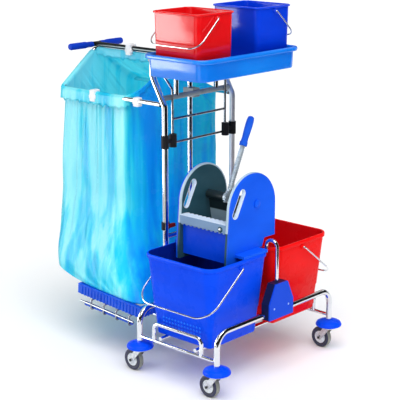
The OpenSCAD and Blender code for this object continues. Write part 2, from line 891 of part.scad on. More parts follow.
// A level of the bag: 0 is the foot on the platform, 0.8 the frame's arms and 1 the
// sloping mouth. The bag is wide at the foot, narrows to its frame and hangs past the
// platform's end.
function bag_ring(level, shrink) =
    let (
        arms = 0.8,
        body = min(level / arms, 1),
        lift = max(level - arms, 0) / (1 - arms),
        spread = 0.5 + 0.5 * cos(180 * min(body / bag_neck, 1)),
        creep = pow(max(1 - body / bag_neck, 0), 2),
        fullness = sin(180 * pow(body, 0.6)),
        hang = pow(min(body / bag_belly_level, 1), 0.6),
        half_x = bag_half_x + (bag_foot_x - bag_half_x) * spread + bag_bulge * 0.2 * fullness,
        x_low = shrink - half_x,
        x_high = half_x * (1 - lift) - shrink,
        left_y = bag_left_y + (bag_foot_near_y - bag_left_y) * creep + shrink,
        right_y = bag_right_y + (bag_foot_near_y - bag_right_y) * creep + bag_ridge_back * lift + shrink,
        full_y = bag_far_y + (back_y - bag_far_y) * fullness,
        far_y = bag_foot_far_y + (full_y - bag_foot_far_y) * hang - shrink,
        peak = lift * (ridge_low_z - bag_tube_d - bag_arm_z)
    )
    [
        for (i = [0:bag_points - 1])
            let (
                p = soft_square(360 * i / bag_points, 0.5),
                across = (p[0] + 1) / 2,
                near_y = left_y + (right_y - left_y) * across,
                y = (near_y + far_y) / 2 + p[1] * (far_y - near_y) / 2,
                foot_z = bag_foot_z(y)
            )
            [
                x_low + (x_high - x_low) * across,
                y,
                foot_z + (bag_arm_z - foot_z) * body + peak * across
            ]
    ];

// The waste bag: a thin soft shell, closed below and open at the sloping mouth.
module waste_bag() {
    outer = [for (k = [0:bag_levels]) bag_ring(k / bag_levels, 0)];
    inner = [
        for (k = [0:bag_levels])
            [for (p = bag_ring(k / bag_levels, bag_wall)) k == 0 ? p + [0, 0, bag_wall] : p]
    ];
    rings = concat(outer, [for (k = [bag_levels:-1:0]) inner[k]]);
    count = len(rings);
    points = [for (ring = rings, p = ring) p];
    sides = [
        for (k = [0:count - 2], i = [0:bag_points - 1])
            let (
                a = k * bag_points + i,
                b = k * bag_points + (i + 1) % bag_points
            )
            each [[a, a + bag_points, b], [b, a + bag_points, b + bag_points]]
    ];
    foot = [for (i = [0:bag_points - 1]) i];
    floor_face = [for (i = [bag_points - 1:-1:0]) (count - 1) * bag_points + i];
    color(film_cyan) polyhedron(points, concat(sides, [foot], [floor_face]), convexity = 6);
}

// White clips on the bag frame's front arm and on the handle's stem.
module bag_clips() {
    arm_clip_y = bag_end_y - clip_back;
    stem_clip_y = handle_y - clip_back;
    clip_mouth = bag_tube_d * 0.3;
    color("white") {
        difference() {
            rod([-mast_x, arm_clip_y, bag_arm_z], [-mast_x, arm_clip_y + clip_l, bag_arm_z],
                bag_tube_d + 2 * clip_t);
            rod([-mast_x, bag_left_y, bag_arm_z], [-mast_x, bag_end_y, bag_arm_z], bag_tube_d);
            translate([clip_mouth - mast_x, bag_left_y, bag_arm_z - bag_tube_d])
                cube([bag_tube_d, bag_end_y - bag_left_y, 2 * bag_tube_d]);
        }
        difference() {
            rod([0, stem_clip_y, handle_z], [0, stem_clip_y + clip_l, handle_z], handle_d + 2 * clip_t);
            rod([0, bag_left_y, handle_z], [0, handle_y, handle_z], handle_d);
        }
    }
}

// Puts a piece on the tilted platform; its origin is the near top edge.
module on_platform() {
    translate([0, platform_y, platform_z]) rotate([platform_tilt, 0, 0]) children();
}

// The ribbed plastic platform under the bag: a slotted deck with a comb-like skirt.
module platform() {
    rib_t = 4;
    rib_out = 3;
    slot_rows = 3;
    slot_cols = 7;
    slot_gap = 14;
    slot_x = (platform_w - slot_gap) / slot_cols;
    slot_y = (platform_l - slot_gap) / slot_rows;
    rib_count_x = floor((platform_w - 2 * rib_pitch) / rib_pitch);
    rib_count_y = floor((platform_l - 2 * rib_pitch) / rib_pitch);
    color(cart_blue) on_platform() {
        translate([0, 0, -platform_t])
            linear_extrude(platform_t)
                difference() {
                    translate([-platform_w / 2, 0]) square([platform_w, platform_l]);
                    for (i = [0:slot_cols - 1], j = [0:slot_rows - 1])
                        translate([slot_gap - platform_w / 2 + i * slot_x, slot_gap + j * slot_y])
                            square([slot_x - slot_gap, slot_y - slot_gap]);
                }
        translate([0, 0, -platform_h])
            linear_extrude(platform_h - platform_t)
                difference() {
                    union() {
                        translate([-platform_w / 2, 0]) square([platform_w, platform_l]);
                        for (i = [0:rib_count_x])
                            translate([(i - rib_count_x / 2) * rib_pitch - rib_t / 2, -rib_out])
                                square([rib_t, platform_l + 2 * rib_out]);
                        for (i = [0:rib_count_y])
                            translate([-platform_w / 2 - rib_out,
                                platform_l / 2 + (i - rib_count_y / 2) * rib_pitch - rib_t / 2])
                                square([platform_w + 2 * rib_out, rib_t]);
                    }
                    translate([platform_t - platform_w / 2, platform_t])
                        square([platform_w - 2 * platform_t, platform_l - 2 * platform_t]);
                }
    }
}

// A wire grid under the platform: four cross wires whose ends turn down and curl
// inwards like a J, and a long wire on each side that ties the hooks.
module platform_wires() {
    side_drop = 18;
    hook_drop = 36;
    curl = 17;
    tip_rise = 12;
    first = 48;
    reach = platform_w / 2 + platform_wire_d;
    low_z = platform_wire_z - hook_drop;
    bend_r = platform_wire_d * 1.2;
    color(chrome) on_platform() {
        for (i = [0:3]) {
            y = first + i * platform_wire_pitch;
            bent_tube([
                [curl - reach, y, low_z + tip_rise],
                [curl - reach, y, low_z],
                [-reach, y, low_z],
                [-reach, y, platform_wire_z],
                [reach, y, platform_wire_z],
                [reach, y, low_z],
                [reach - curl, y, low_z],
                [reach - curl, y, low_z + tip_rise]
            ], platform_wire_d, bend_r);
        }
        for (side = [-1, 1])
            rod([side * reach, first / 2, platform_wire_z - side_drop],
                [side * reach, platform_l - first / 2, platform_wire_z - side_drop], platform_wire_d);
    }
}

// Two arms that carry the wires and the platform from the rear rail.
module platform_arms() {
    rise = rail_z - platform_z;
    drop_y = platform_arm_d * 2 - platform_gap;
    rail_local_y = -platform_gap * cos(platform_tilt) + rise * sin(platform_tilt);
    rail_local_z = platform_gap * sin(platform_tilt) + rise * cos(platform_tilt);
    color(chrome) on_platform()
        for (side = [-1, 1])
            difference() {
                bent_tube([
                    [side * platform_arm_x, rail_local_y, rail_local_z],
                    [side * platform_arm_x, drop_y, platform_arm_z],
                    [side * platform_arm_x, platform_l - platform_arm_d, platform_arm_z]
                ], platform_arm_d, platform_arm_d * 1.5);
                rod([side * platform_arm_x - rail_d, rail_local_y, rail_local_z],
                    [side * platform_arm_x + rail_d, rail_local_y, rail_local_z], rail_d);
            }
}

// The moulded bracket that clamps on the front rail and holds the hook's rod.
module hook_bracket() {
    foot = rail_d / 2 + 7;
    top_w = bracket_w * 0.5;
    shoulder = bracket_h * 0.45;
    screw_d = 9;
    pocket_d = 7;
    color(cart_blue)
        difference() {
            translate([0, bracket_t / 2 - 5, 0])
                rotate([90, 0, 0])
                    linear_extrude(bracket_t)
                        polygon([
                            [-bracket_w / 2, rail_z - foot],
                            [bracket_w / 2, rail_z - foot],
                            [bracket_w / 2, rail_z - foot + shoulder],
                            [top_w / 2, rail_z - foot + bracket_h],
                            [-top_w / 2, rail_z - foot + bracket_h],
                            [-bracket_w / 2, rail_z - foot + shoulder]
                        ]);
            rod([-bracket_w, 0, rail_z], [bracket_w, 0, rail_z], rail_d);
            translate([0, 0, rail_z + rail_d]) cylinder(d = hook_d, h = bracket_h);
            for (side = [-1, 1])
                translate([side * bracket_w * 0.3, -bracket_t, rail_z + rail_d])
                    rotate([-90, 0, 0]) cylinder(d = screw_d, h = pocket_d + bracket_t / 2 - 5);
        }
}

// The chrome rod that rises from the bracket and hooks over between the buckets.
module hook_rod() {
    tip_z = hook_top_z - hook_reach - hook_d / 2;
    crown_z = hook_top_z - hook_d / 2;
    color(chrome)
        bent_tube([
            [0, 0, rail_z + rail_d],
            [0, 0, crown_z],
            [0, hook_reach, crown_z],
            [0, hook_reach, tip_z]
        ], hook_d, hook_reach / 2 - 0.01);
}

// Mop buckets and their bails
module bucket_place(side) {
    translate([side * bucket_x, bucket_y, bucket_z]) children();
}
module mop_bucket() {
    bucket(bucket_w, bucket_l, bucket_h, bucket_corner_r, bucket_draw, lip_h, step_h, bail_d);
}
module mop_bail(side) {
    color(chrome)
        translate([side * bucket_x, bucket_y, ear_z]) bail(side, bucket_l / 2, bail_reach, bail_hang, bail_d);
}
module bucket_blue() { color(cart_blue) bucket_place(-1) mop_bucket(); }
module bucket_red() { color(cart_red) bucket_place(1) mop_bucket(); }
module bail_blue() { mop_bail(-1); }
module bail_red() { mop_bail(1); }

// Small buckets on the tray and their bails
module small_bucket(side) {
    translate([side * small_x, tray_y, small_z])
        bucket(small_w, small_l, small_h, small_corner_r, small_draw, small_band, small_step, small_bail_d);
}
module small_bail(side) {
    color(chrome)
        translate([side * small_x, tray_y, small_ear_z])
            bail(side, small_l / 2, small_bail_reach, small_bail_hang, small_bail_d);
}
module small_bucket_red() { color(cart_red) small_bucket(-1); }
module small_bucket_blue() { color(cart_blue) small_bucket(1); }
module small_bail_red() { small_bail(-1); }
module small_bail_blue() { small_bail(1); }

// Stands a flat outline (x across, y up) at the wringer's cheek centre,
// between two distances from the bucket's middle.
module cheek_plate(from_y, to_y) {
    translate([cheek_x, bucket_y + to_y, cheek_z])
        rotate([90, 0, 0]) linear_extrude(to_y - from_y) children();
}

// The cheeks' outline: a round top, straight edges, a back that hangs over the other
// bucket's rim and a foot in the bucket.
module cheek_outline() {
    shoulder_z = 8 - cheek_rise;
    overhang_z = overhang_gap - cheek_rise;
    back_foot = wringer_back - lip_out - bucket_wall - foot_room;
    difference() {
        union() {
            circle(r = cheek_r, $fn = 96);
            polygon([
                [-cheek_r, 0],
                [-front_foot, shoulder_z],
                [-front_foot, -cheek_rise - cheek_dip],
                [back_foot, -cheek_rise - cheek_dip],
                [back_foot, shoulder_z],
                [wringer_back - 2, shoulder_z],
                [wringer_back + 9, overhang_z],
                [cheek_r, overhang_z],
                [cheek_r, 0]
            ]);
        }
        translate([shaft_dx, shaft_dz]) circle(d = shaft_d + 2 * running_fit);
        hand_slot();
    }
}

// A slanted round-ended hand slot near the front edge.
module hand_slot() {
    slot_lean = 28;
    run = slot_l - slot_w;
    translate([-cheek_r * 0.62, cheek_r * 0.22])
        rotate([0, 0, -slot_lean]) {
            square([slot_w, run], center = true);
            for (end = [-1, 1]) translate([0, end * run / 2]) circle(d = slot_w);
        }
}

// Grey cheek plates of the wringer
module wringer_cheek(side) {
    low = side < 0 ? -cheek_inner - cheek_t : cheek_inner;
    color(press_grey) cheek_plate(low, low + cheek_t) cheek_outline();
}
module wringer_cheek_front() { wringer_cheek(-1); }
module wringer_cheek_rear() { wringer_cheek(1); }

// Blue covers outside the cheeks, each with a ledge that rests on the bucket's rim.
module wringer_cover(side) {
    ledge_w = 120;
    ledge_h = 9;
    ledge_reach = bucket_l / 2 - 2;
    low = side < 0 ? -wringer_w / 2 : wringer_w / 2 - cover_t;
    ledge_low = side < 0 ? -ledge_reach : wringer_w / 2 - 1;
    color(cart_blue) {
        cheek_plate(low, low + cover_t) cheek_outline();
        translate([cheek_x - ledge_w * 0.75, bucket_y + ledge_low, rim_z + seat_gap])
            cube([ledge_w, ledge_reach - wringer_w / 2 + 1, ledge_h]);
    }
}
module wringer_cover_front() { wringer_cover(-1); }
module wringer_cover_rear() { wringer_cover(1); }

// The blue panel that closes the wringer's front between the cheeks.
module wringer_panel() {
    panel_in = 20;
    panel_dip = cheek_dip * 0.6;
    color(cart_blue)
        translate([cheek_x - front_foot + panel_in, bucket_y - cheek_inner, rim_z - panel_dip])
            cube([panel_t, 2 * cheek_inner, cheek_rise + panel_dip - ledge_drop]);
}

// The light fixed jaw: a ledge on top of the panel and a plate that slopes into the press.
module wringer_fixed_jaw() {
    front = -cheek_r * 1.06;
    back = front + 30;
    deep = 96;
    run = 40;
    color(light_grey)
        cheek_plate(-cheek_inner, cheek_inner)
            polygon([
                [front, -ledge_drop],
                [front, ledge_t - ledge_drop],
                [back, ledge_t - ledge_drop],
                [back + run, -ledge_drop - deep],
                [back + run - jaw_t, -ledge_drop - deep],
                [back - jaw_t, -ledge_drop]
            ]);
}

// The moving jaw: a plate that hangs from two sleeves on the press shaft.
module wringer_jaw() {
    side_gap = 3;
    sleeve_edge = 2;
    web_drop = 6;
    lever_room = lever_hub_w / 2 + 2;
    half = cheek_inner - side_gap;
    plate_half = half - sleeve_edge;
    plate_h = jaw_l - sleeve_r - web_drop;
    color(light_grey)
        translate([shaft_x, bucket_y, shaft_z])
            difference() {
                union() {
                    for (stretch = [[-half, lever_side - lever_room], [lever_side + lever_room, half]]) {
                        web_l = stretch[1] - stretch[0] - 2 * sleeve_edge;
                        rod([0, stretch[0], 0], [0, stretch[1], 0], 2 * sleeve_r);
                        rotate([0, -jaw_lean, 0])
                            translate([-jaw_t / 2, stretch[0] + sleeve_edge, plate_h - jaw_l])
                                cube([jaw_t, web_l, jaw_l - plate_h - shaft_d / 4]);
                    }
                    rotate([0, -jaw_lean, 0])
                        translate([-jaw_t / 2, -plate_half, -jaw_l]) cube([jaw_t, 2 * plate_half, plate_h]);
                }
                rod([0, -wringer_w, 0], [0, wringer_w, 0], shaft_d);
            }
}

// The press shaft with a round head outside each cover.
module wringer_shaft() {
    head_t = 4;
    reach = wringer_w / 2 + 0.5;
    color(chrome)
        translate([shaft_x, bucket_y, shaft_z]) {
            rod([0, -reach, 0], [0, reach, 0], shaft_d);
            for (side = [-1, 1])
                rod([0, side * reach, 0], [0, side * (reach + head_t), 0], shaft_d + 8);
        }
}

// Puts a piece on the lever's line: its z runs up the lever from the shaft.
module on_lever() {
    translate([shaft_x, bucket_y + lever_side, shaft_z]) rotate([0, lever_lean, 0]) children();
}

// The lever: a hub on the shaft and a straight bar.
module wringer_lever() {
    grip_cap = 5;
    color(light_grey)
        on_lever()
            difference() {
                union() {
                    rod([0, -lever_hub_w / 2, 0], [0, lever_hub_w / 2, 0], 2 * sleeve_r);
                    cylinder(d = lever_d, h = lever_l - grip_cap);
                }
                rod([0, -lever_hub_w, 0], [0, lever_hub_w, 0], shaft_d);
            }
}

// The lever's blue grip, with a rounded top.
module wringer_grip() {
    grip_cap = 5;
    dome = 8;
    color(cart_blue)
        on_lever()
            difference() {
                translate([0, 0, lever_l - lever_grip_l])
                    rotate_extrude() {
                        square([lever_grip_d / 2, lever_grip_l - dome]);
                        square([lever_grip_d / 2 - dome, lever_grip_l]);
                        translate([lever_grip_d / 2 - dome, lever_grip_l - dome])
                            intersection() {
                                circle(r = dome);
                                square(dome);
                            }
                    }
                cylinder(d = lever_d, h = lever_l - grip_cap);
            }
}

for (i = [0:3]) {
    name = corner_names[i];
    spot = corner_spots[i];
    on_floor() caster_fork(spot);
    on_floor() caster_hub(spot);
    on_floor() caster_tyre(spot);
}
on_floor() caster_bumpers();
on_floor() rail_front();
on_floor() rail_rear();
on_floor() end_rails();
on_floor() end_guards();
on_floor() bucket_runners();
on_floor() mast_left();
on_floor() mast_right();
on_floor() mast_crossbar();
on_floor() mast_tie();
on_floor() tray_posts();
on_floor() tray_beam();
on_floor() wire_rack();
on_floor() rack_clamps();
on_floor() tool_clip();
on_floor() tray();
on_floor() handle_tube();
on_floor() handle_clamps();
on_floor() handle_bar();
on_floor() grip_left();
on_floor() grip_right();
on_floor() bag_frame();
on_floor() waste_bag();
on_floor() bag_clips();
on_floor() platform();
on_floor() platform_wires();
on_floor() platform_arms();
on_floor() hook_bracket();
on_floor() hook_rod();
on_floor() bucket_blue();
on_floor() bail_blue();
on_floor() bucket_red();
on_floor() bail_red();
on_floor() small_bucket_red();
on_floor() small_bail_red();
on_floor() small_bucket_blue();
on_floor() small_bail_blue();
on_floor() wringer_cheek_front();
on_floor() wringer_cheek_rear();
on_floor() wringer_cover_front();
on_floor() wringer_cover_rear();
on_floor() wringer_panel();
on_floor() wringer_fixed_jaw();
on_floor() wringer_jaw();
on_floor() wringer_shaft();
on_floor() wringer_lever();
on_floor() wringer_grip();
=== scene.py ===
import random
from math import atan, cos, degrees, exp, pi, radians, sin

import bmesh
import bpy
from mathutils import Matrix, Vector, noise


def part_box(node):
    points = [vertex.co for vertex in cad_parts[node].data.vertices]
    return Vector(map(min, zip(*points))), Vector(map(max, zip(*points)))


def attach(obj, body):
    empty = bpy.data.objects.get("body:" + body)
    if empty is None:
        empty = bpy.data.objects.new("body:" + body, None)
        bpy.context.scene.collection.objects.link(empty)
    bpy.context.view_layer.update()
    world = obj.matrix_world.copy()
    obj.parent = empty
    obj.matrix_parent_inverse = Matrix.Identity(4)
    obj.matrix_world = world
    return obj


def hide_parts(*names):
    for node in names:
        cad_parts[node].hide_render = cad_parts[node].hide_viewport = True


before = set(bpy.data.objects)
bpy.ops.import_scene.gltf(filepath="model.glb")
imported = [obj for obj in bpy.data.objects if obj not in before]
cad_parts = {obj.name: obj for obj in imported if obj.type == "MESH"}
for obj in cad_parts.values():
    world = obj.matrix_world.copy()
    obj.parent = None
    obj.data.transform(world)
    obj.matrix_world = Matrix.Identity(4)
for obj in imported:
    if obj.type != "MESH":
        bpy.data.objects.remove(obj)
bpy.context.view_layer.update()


# Studio: a plain white floor that runs far behind the cart, a broad sun for even light and a soft box
# beside the cart. Dark flags, which only bright metal mirrors, give the chrome its black stripes.
def feed(node, socket, value):
    """Lets another node's output drive one of a node's inputs."""
    node.id_data.links.new(value, node.inputs[socket])


def add_node(tree, kind, values):
    """A new node; values holds, by socket, plain values or other nodes' outputs."""
    node = tree.nodes.new(kind)
    for socket, value in values.items():
        if isinstance(value, bpy.types.NodeSocket):
            feed(node, socket, value)
        else:
            node.inputs[socket].default_value = value
    return node


def new_finish(name, colour, roughness, metallic=0.0, shine=0.5):
    """A node material whose shader starts from plain values; returns it with its tree and shader."""
    finish = bpy.data.materials.new(name)
    finish.use_nodes = True
    shader = finish.node_tree.nodes["Principled BSDF"]
    values = {"Base Color": (*colour, 1), "Roughness": roughness, "Metallic": metallic,
              "Specular IOR Level": shine}
    for socket, value in values.items():
        shader.inputs[socket].default_value = value
    return finish, finish.node_tree, shader


def grain(tree, scale, stretch=(1, 1, 1), detail=3.0):
    """Noise in the piece's own place; stretch draws it out along an axis."""
    place = tree.nodes.new("ShaderNodeTexCoord").outputs["Object"]
    mapped = add_node(tree, "ShaderNodeMapping", {"Vector": place, "Scale": stretch}).outputs["Vector"]
    return add_node(tree, "ShaderNodeTexNoise",
                    {"Vector": mapped, "Scale": scale, "Detail": detail}).outputs["Fac"]


def ramp_between(tree, value, low, high, start=0.0, end=1.0, kind="SMOOTHSTEP"):
    """Takes a value's range from low to high to the range from start to end."""
    spread = add_node(tree, "ShaderNodeMapRange", {"Value": value, "From Min": low, "From Max": high,
                                                   "To Min": start, "To Max": end})
    spread.interpolation_type = kind
    return spread.outputs["Result"]


def between(tree, value, low, high):
    """Takes the middle of a noise to the range from low to high."""
    return ramp_between(tree, value, 0.3, 0.7, low, high, kind="LINEAR")


def shades(tree, value, *stops):
    """A colour ramp over a value; each stop is (position, colour)."""
    ramp = add_node(tree, "ShaderNodeValToRGB", {"Fac": value})
    elements = ramp.color_ramp.elements
    while len(elements) < len(stops):
        elements.new(0.5)
    for element, (position, colour) in zip(elements, stops):
        element.position = position
        element.color = (*colour, 1)
    return ramp.outputs["Color"]


def make_mesh(name, verts, faces):
    """A mesh from points and faces."""
    mesh = bpy.data.meshes.new(name)
    mesh.from_pydata(verts, [], faces)
    return mesh


def add_object(name, data):
    """A new object in the scene."""
    thing = bpy.data.objects.new(name, data)
    bpy.context.collection.objects.link(thing)
    return thing


FLOOR_REACH = 40
FLOOR_CORNERS = ((-1, -1), (1, -1), (1, 1), (-1, 1))
floor_finish, tree, shader = new_finish("studio_floor", (0.98, 0.98, 0.98), 0.9, shine=0)
tone = between(tree, grain(tree, 0.4), 0.0, 1.0)
feed(shader, "Base Color", shades(tree, tone, (0, (0.97, 0.97, 0.97)), (1, (0.985, 0.985, 0.985))))
floor_points = [(FLOOR_REACH * x, FLOOR_REACH * y, 0) for x, y in FLOOR_CORNERS]
floor = add_object("studio_floor", make_mesh("studio_floor", floor_points, [(0, 1, 2, 3)]))
floor.data.materials.append(floor_finish)

SUN_STRENGTH = 2.45
SUN_ANGLE = radians(55)
SUN_FROM = Vector((-0.38, -0.44, 1.0))
sun = add_object("studio_sun", bpy.data.lights.new("studio_sun", "SUN"))
sun.data.energy = SUN_STRENGTH
sun.data.angle = SUN_ANGLE
sun.rotation_euler = SUN_FROM.to_track_quat("Z", "Y").to_euler()

SOFTBOX_AT = Vector((-1.9, 1.75, 0.75))
SOFTBOX_AIM = Vector((-0.05, 0.0, 0.8))
SOFTBOX_SIZE = (2.2, 1.5)
SOFTBOX_POWER = 85
softbox = add_object("studio_softbox", bpy.data.lights.new("studio_softbox", "AREA"))
softbox.data.shape = "RECTANGLE"
softbox.data.size, softbox.data.size_y = SOFTBOX_SIZE
softbox.data.energy = SOFTBOX_POWER
softbox.location = SOFTBOX_AT
softbox.rotation_euler = (SOFTBOX_AT - SOFTBOX_AIM).to_track_quat("Z", "Y").to_euler()
softbox.visible_camera = False
softbox.visible_diffuse = False

FLAG_REACH = 1.5
FLAG_LOW, FLAG_HIGH = 0.02, 2.3
FLAG_ARCS = ((150, 182), (214, 330))
FLAG_STEPS = 12
flag_black, tree, shader = new_finish("studio_flag", (0.01, 0.01, 0.011), 0.9, shine=0)
flag_faces = [(2 * i, 2 * i + 2, 2 * i + 3, 2 * i + 1) for i in range(FLAG_STEPS)]
for number, (start, end) in enumerate(FLAG_ARCS):
    flag_points = []
    for step in range(FLAG_STEPS + 1):
        angle = radians(start + (end - start) * step / FLAG_STEPS)
        spot = (FLAG_REACH * cos(angle), FLAG_REACH * sin(angle))
        flag_points += [(*spot, FLAG_LOW), (*spot, FLAG_HIGH)]
    flag = add_object(f"studio_flag_{number}", make_mesh(f"studio_flag_{number}", flag_points, flag_faces))
    flag.data.materials.append(flag_black)
    flag.visible_camera = False
    flag.visible_diffuse = False
    flag.visible_transmission = False
    flag.visible_shadow = False

world = bpy.data.worlds.new("studio_sky")
world.use_nodes = True
bpy.context.scene.world = world
sky = world.node_tree
facing = sky.nodes.new("ShaderNodeTexCoord").outputs["Generated"]
rise = add_node(sky, "ShaderNodeSeparateXYZ", {"Vector": facing}).outputs["Z"]
soft_sky = shades(
    sky, rise, (0.0, (0.95, 0.95, 0.95)), (0.22, (0.86, 0.86, 0.86)), (0.5, (0.42, 0.43, 0.44)),
    (1.0, (0.3, 0.31, 0.32)))
mirror_sky = shades(
    sky, rise, (0.0, (0.95, 0.95, 0.95)), (0.1, (0.9, 0.9, 0.9)), (0.2, (0.04, 0.04, 0.045)),
    (0.42, (0.03, 0.03, 0.035)), (0.5, (0.88, 0.88, 0.88)), (0.6, (0.85, 0.85, 0.85)),
    (0.66, (0.05, 0.05, 0.055)), (0.82, (0.06, 0.06, 0.065)), (0.92, (0.8, 0.8, 0.8)))
FACTOR, COLOUR_A, COLOUR_B, COLOUR_OUT = 0, 6, 7, 2
ray = sky.nodes.new("ShaderNodeLightPath")
by_ray = sky.nodes.new("ShaderNodeMix")
by_ray.data_type = "RGBA"
feed(by_ray, FACTOR, ray.outputs["Is Glossy Ray"])
feed(by_ray, COLOUR_A, soft_sky)
feed(by_ray, COLOUR_B, mirror_sky)
feed(sky.nodes["Background"], "Color", by_ray.outputs[COLOUR_OUT])
sky.nodes["Background"].inputs["Strength"].default_value = 1.0

CAMERA_AT = (-3.0603, -2.8424, 1.6241)
CAMERA_TURN = (radians(75.34), 0, radians(-47.86))
CAMERA_LENS = 110.8
camera = add_object("photo_camera", bpy.data.cameras.new("photo_camera"))
camera.data.lens = CAMERA_LENS
camera.data.sensor_width = 36
camera.location = CAMERA_AT
camera.rotation_euler = CAMERA_TURN
bpy.context.scene.camera = camera
bpy.context.scene.view_settings.view_transform = "Standard"


# Chromed tubes and wires: bent steel with a bright plated skin. The upper crossbar, the handle's clamps
# and the bar under the tray are painted grey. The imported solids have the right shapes, so they only
# get a finish.
def relief(shader, height, depth, under=None):
    """Raises the surface by a height value; under is a coarser relief that lies below it."""
    bump = add_node(shader.id_data, "ShaderNodeBump", {"Strength": 1.0, "Distance": depth, "Height": height})
    if under is not None:
        feed(bump, "Normal", under)
    feed(shader, "Normal", bump.outputs["Normal"])
    return bump.outputs["Normal"]


def dress(finish, *nodes):
    """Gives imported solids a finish."""
    for node in nodes:
        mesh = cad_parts[node].data
        mesh.materials.clear()
        mesh.materials.append(finish)


def own_place(tree):
    """The surface's place in the piece's own frame, and the same split into X, Y and Z."""
    place = tree.nodes.new("ShaderNodeTexCoord").outputs["Object"]
    return place, add_node(tree, "ShaderNodeSeparateXYZ", {"Vector": place}).outputs


def surface(name, first, second, gloss, scales, depth, metallic=0.0, shine=0.5, stops=(0.35, 0.65),
            detail=3.0, step=None):
    """A finish between two shades and two roughnesses; scales are those of shade, gloss and grit.
    With a step (axis, from, to) the shade changes along that axis instead of wandering."""
    shade_scale, gloss_scale, grit_scale = scales
    finish, tree, shader = new_finish(name, first, gloss[0], metallic, shine)
    if step:
        axis, start, end = step
        shade = ramp_between(tree, own_place(tree)[1][axis], start, end)
        stops = (0.0, 1.0)
    else:
        shade = grain(tree, shade_scale, detail=detail)
    feed(shader, "Base Color", shades(tree, shade, (stops[0], first), (stops[1], second)))
    feed(shader, "Roughness", between(tree, grain(tree, gloss_scale), *gloss))
    relief(shader, grain(tree, grit_scale), depth)
    return finish


chrome = surface(
    "bright_chrome", (0.72, 0.74, 0.77), (0.86, 0.87, 0.88), (0.04, 0.12), (9, 60, 900), 0.00001,
    metallic=1.0)
dress(chrome, "rail_front", "rail_rear", "end_rails", "end_guards", "mast_left", "mast_tie", "tray_posts",
      "bag_frame", "platform_arms", "bucket_runners", "hook_rod", "bail_blue", "bail_red", "small_bail_red",
      "small_bail_blue", "wringer_shaft")

# The right upright has a satin skin, and the wires of the rack and under the platform are dull steel.
satin = surface(
    "satin_chrome", (0.78, 0.79, 0.8), (0.88, 0.88, 0.88), (0.34, 0.46), (9, 60, 900), 0.00001,
    metallic=0.75)
dress(satin, "mast_right")
wire_steel = surface(
    "dull_wire_steel", (0.24, 0.26, 0.29), (0.46, 0.48, 0.51), (0.12, 0.28), (40, 80, 900), 0.00002,
    metallic=1.0)
dress(wire_steel, "wire_rack", "platform_wires")

# The push handle's tube is the same chrome, with its stem and crossbar painted near black: a painted dark
# reflection.
STEM_FROM_Y, STEM_TO_Y = 0.0, 0.05
stem_chrome_painted_dark = surface(
    "stem_chrome_painted_dark", (0.8, 0.82, 0.84), (0.045, 0.055, 0.058), (0.06, 0.16), (None, 60, 900), 0.00001,
    metallic=1.0, step=("Y", STEM_FROM_Y, STEM_TO_Y))
dress(stem_chrome_painted_dark, "handle_tube", "handle_bar")
grey_paint = surface(
    "grey_paint", (0.17, 0.21, 0.22), (0.24, 0.28, 0.29), (0.28, 0.45), (30, 70, 500), 0.00004)
dress(grey_paint, "mast_crossbar", "tray_beam", "handle_clamps")


# Casters: pressed zinc-plated forks, a pale moulded hub with spokes, and a rubber tyre with navy flanks
# and a paler tread. A black dome nut closes each end of the axle.
def add_piece(name, solid, body, slot, *finishes, smooth=40):
    """A mesh object from a solid's (points, faces) that rides on a body."""
    return add_mesh(name, make_mesh(name, *solid), body, slot, *finishes, smooth=smooth)


def add_mesh(name, mesh, body, slot, *finishes, smooth=40):
    """Closes doubles, turns the faces outwards, shades them and puts the mesh on its body."""
    tidy = bmesh.new()
    tidy.from_mesh(mesh)
    bmesh.ops.remove_doubles(tidy, verts=tidy.verts, dist=0.000005)
    bmesh.ops.recalc_face_normals(tidy, faces=tidy.faces)
    for face in tidy.faces:
        face.smooth = True
    for edge in tidy.edges:
        edge.smooth = not edge.is_manifold or edge.calc_face_angle() < radians(smooth)
    tidy.to_mesh(mesh)
    tidy.free()
    if finishes:
        mesh.materials.clear()
    for finish in finishes:
        mesh.materials.append(finish)
    piece = add_object(name, mesh)
    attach(piece, body)
    return piece


def loft(rings, close_first=False, close_last=False):
    """Points and faces of a skin over closed rings of equal length."""
    verts = [point for ring in rings for point in ring]
    count = len(rings[0])
    faces = []
    for level in range(len(rings) - 1):
        low, high = level * count, (level + 1) * count
        for i in range(count):
            j = (i + 1) % count
            faces.append((low + i, low + j, high + j, high + i))
    if close_first:
        faces.append(tuple(reversed(range(count))))
    if close_last:
        faces.append(tuple(range(len(verts) - count, len(verts))))
    return verts, faces


def slab(outline, low, high):
    """A plate over a flat outline, from one height to another."""
    rings = [[(x, y, z) for x, y in outline] for z in (low, high)]
    return loft(rings, close_first=True, close_last=True)


def turned(profile, steps=48):
    """A closed lathe form about Z from a profile of (radius, height) that runs round to its start."""
    turn = [2 * pi * i / steps for i in range(steps)]
    rings = []
    for radius, height in [*profile, profile[0]]:
        rings.append([(radius * cos(a), radius * sin(a), height) for a in turn])
    return loft(rings)


def shift(x, y, z):
    """A move along the axes."""
    return Matrix.Translation((x, y, z))


def spin(angle, axis):
    """A turn about an axis, in degrees."""
    return Matrix.Rotation(radians(angle), 4, axis)


def moved(solid, matrix):
    """The same solid turned and shifted by a matrix."""
    verts, faces = solid
    return [tuple(matrix @ Vector(point)) for point in verts], faces


def mirrored(half):
    """A profile of (radius, height) that goes on as its own mirror image."""
    return half + [(radius, -height) for radius, height in reversed(half)]


def middle(node):
    """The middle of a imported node's box."""
    low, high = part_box(node)
    return (low + high) / 2


def rubber(name, dark, light):
    """Dull rubber between two shades, with a fine grain."""
    return surface(name, dark, light, (0.5, 0.75), (45, 120, 800), 0.0001, stops=(0.3, 0.7))


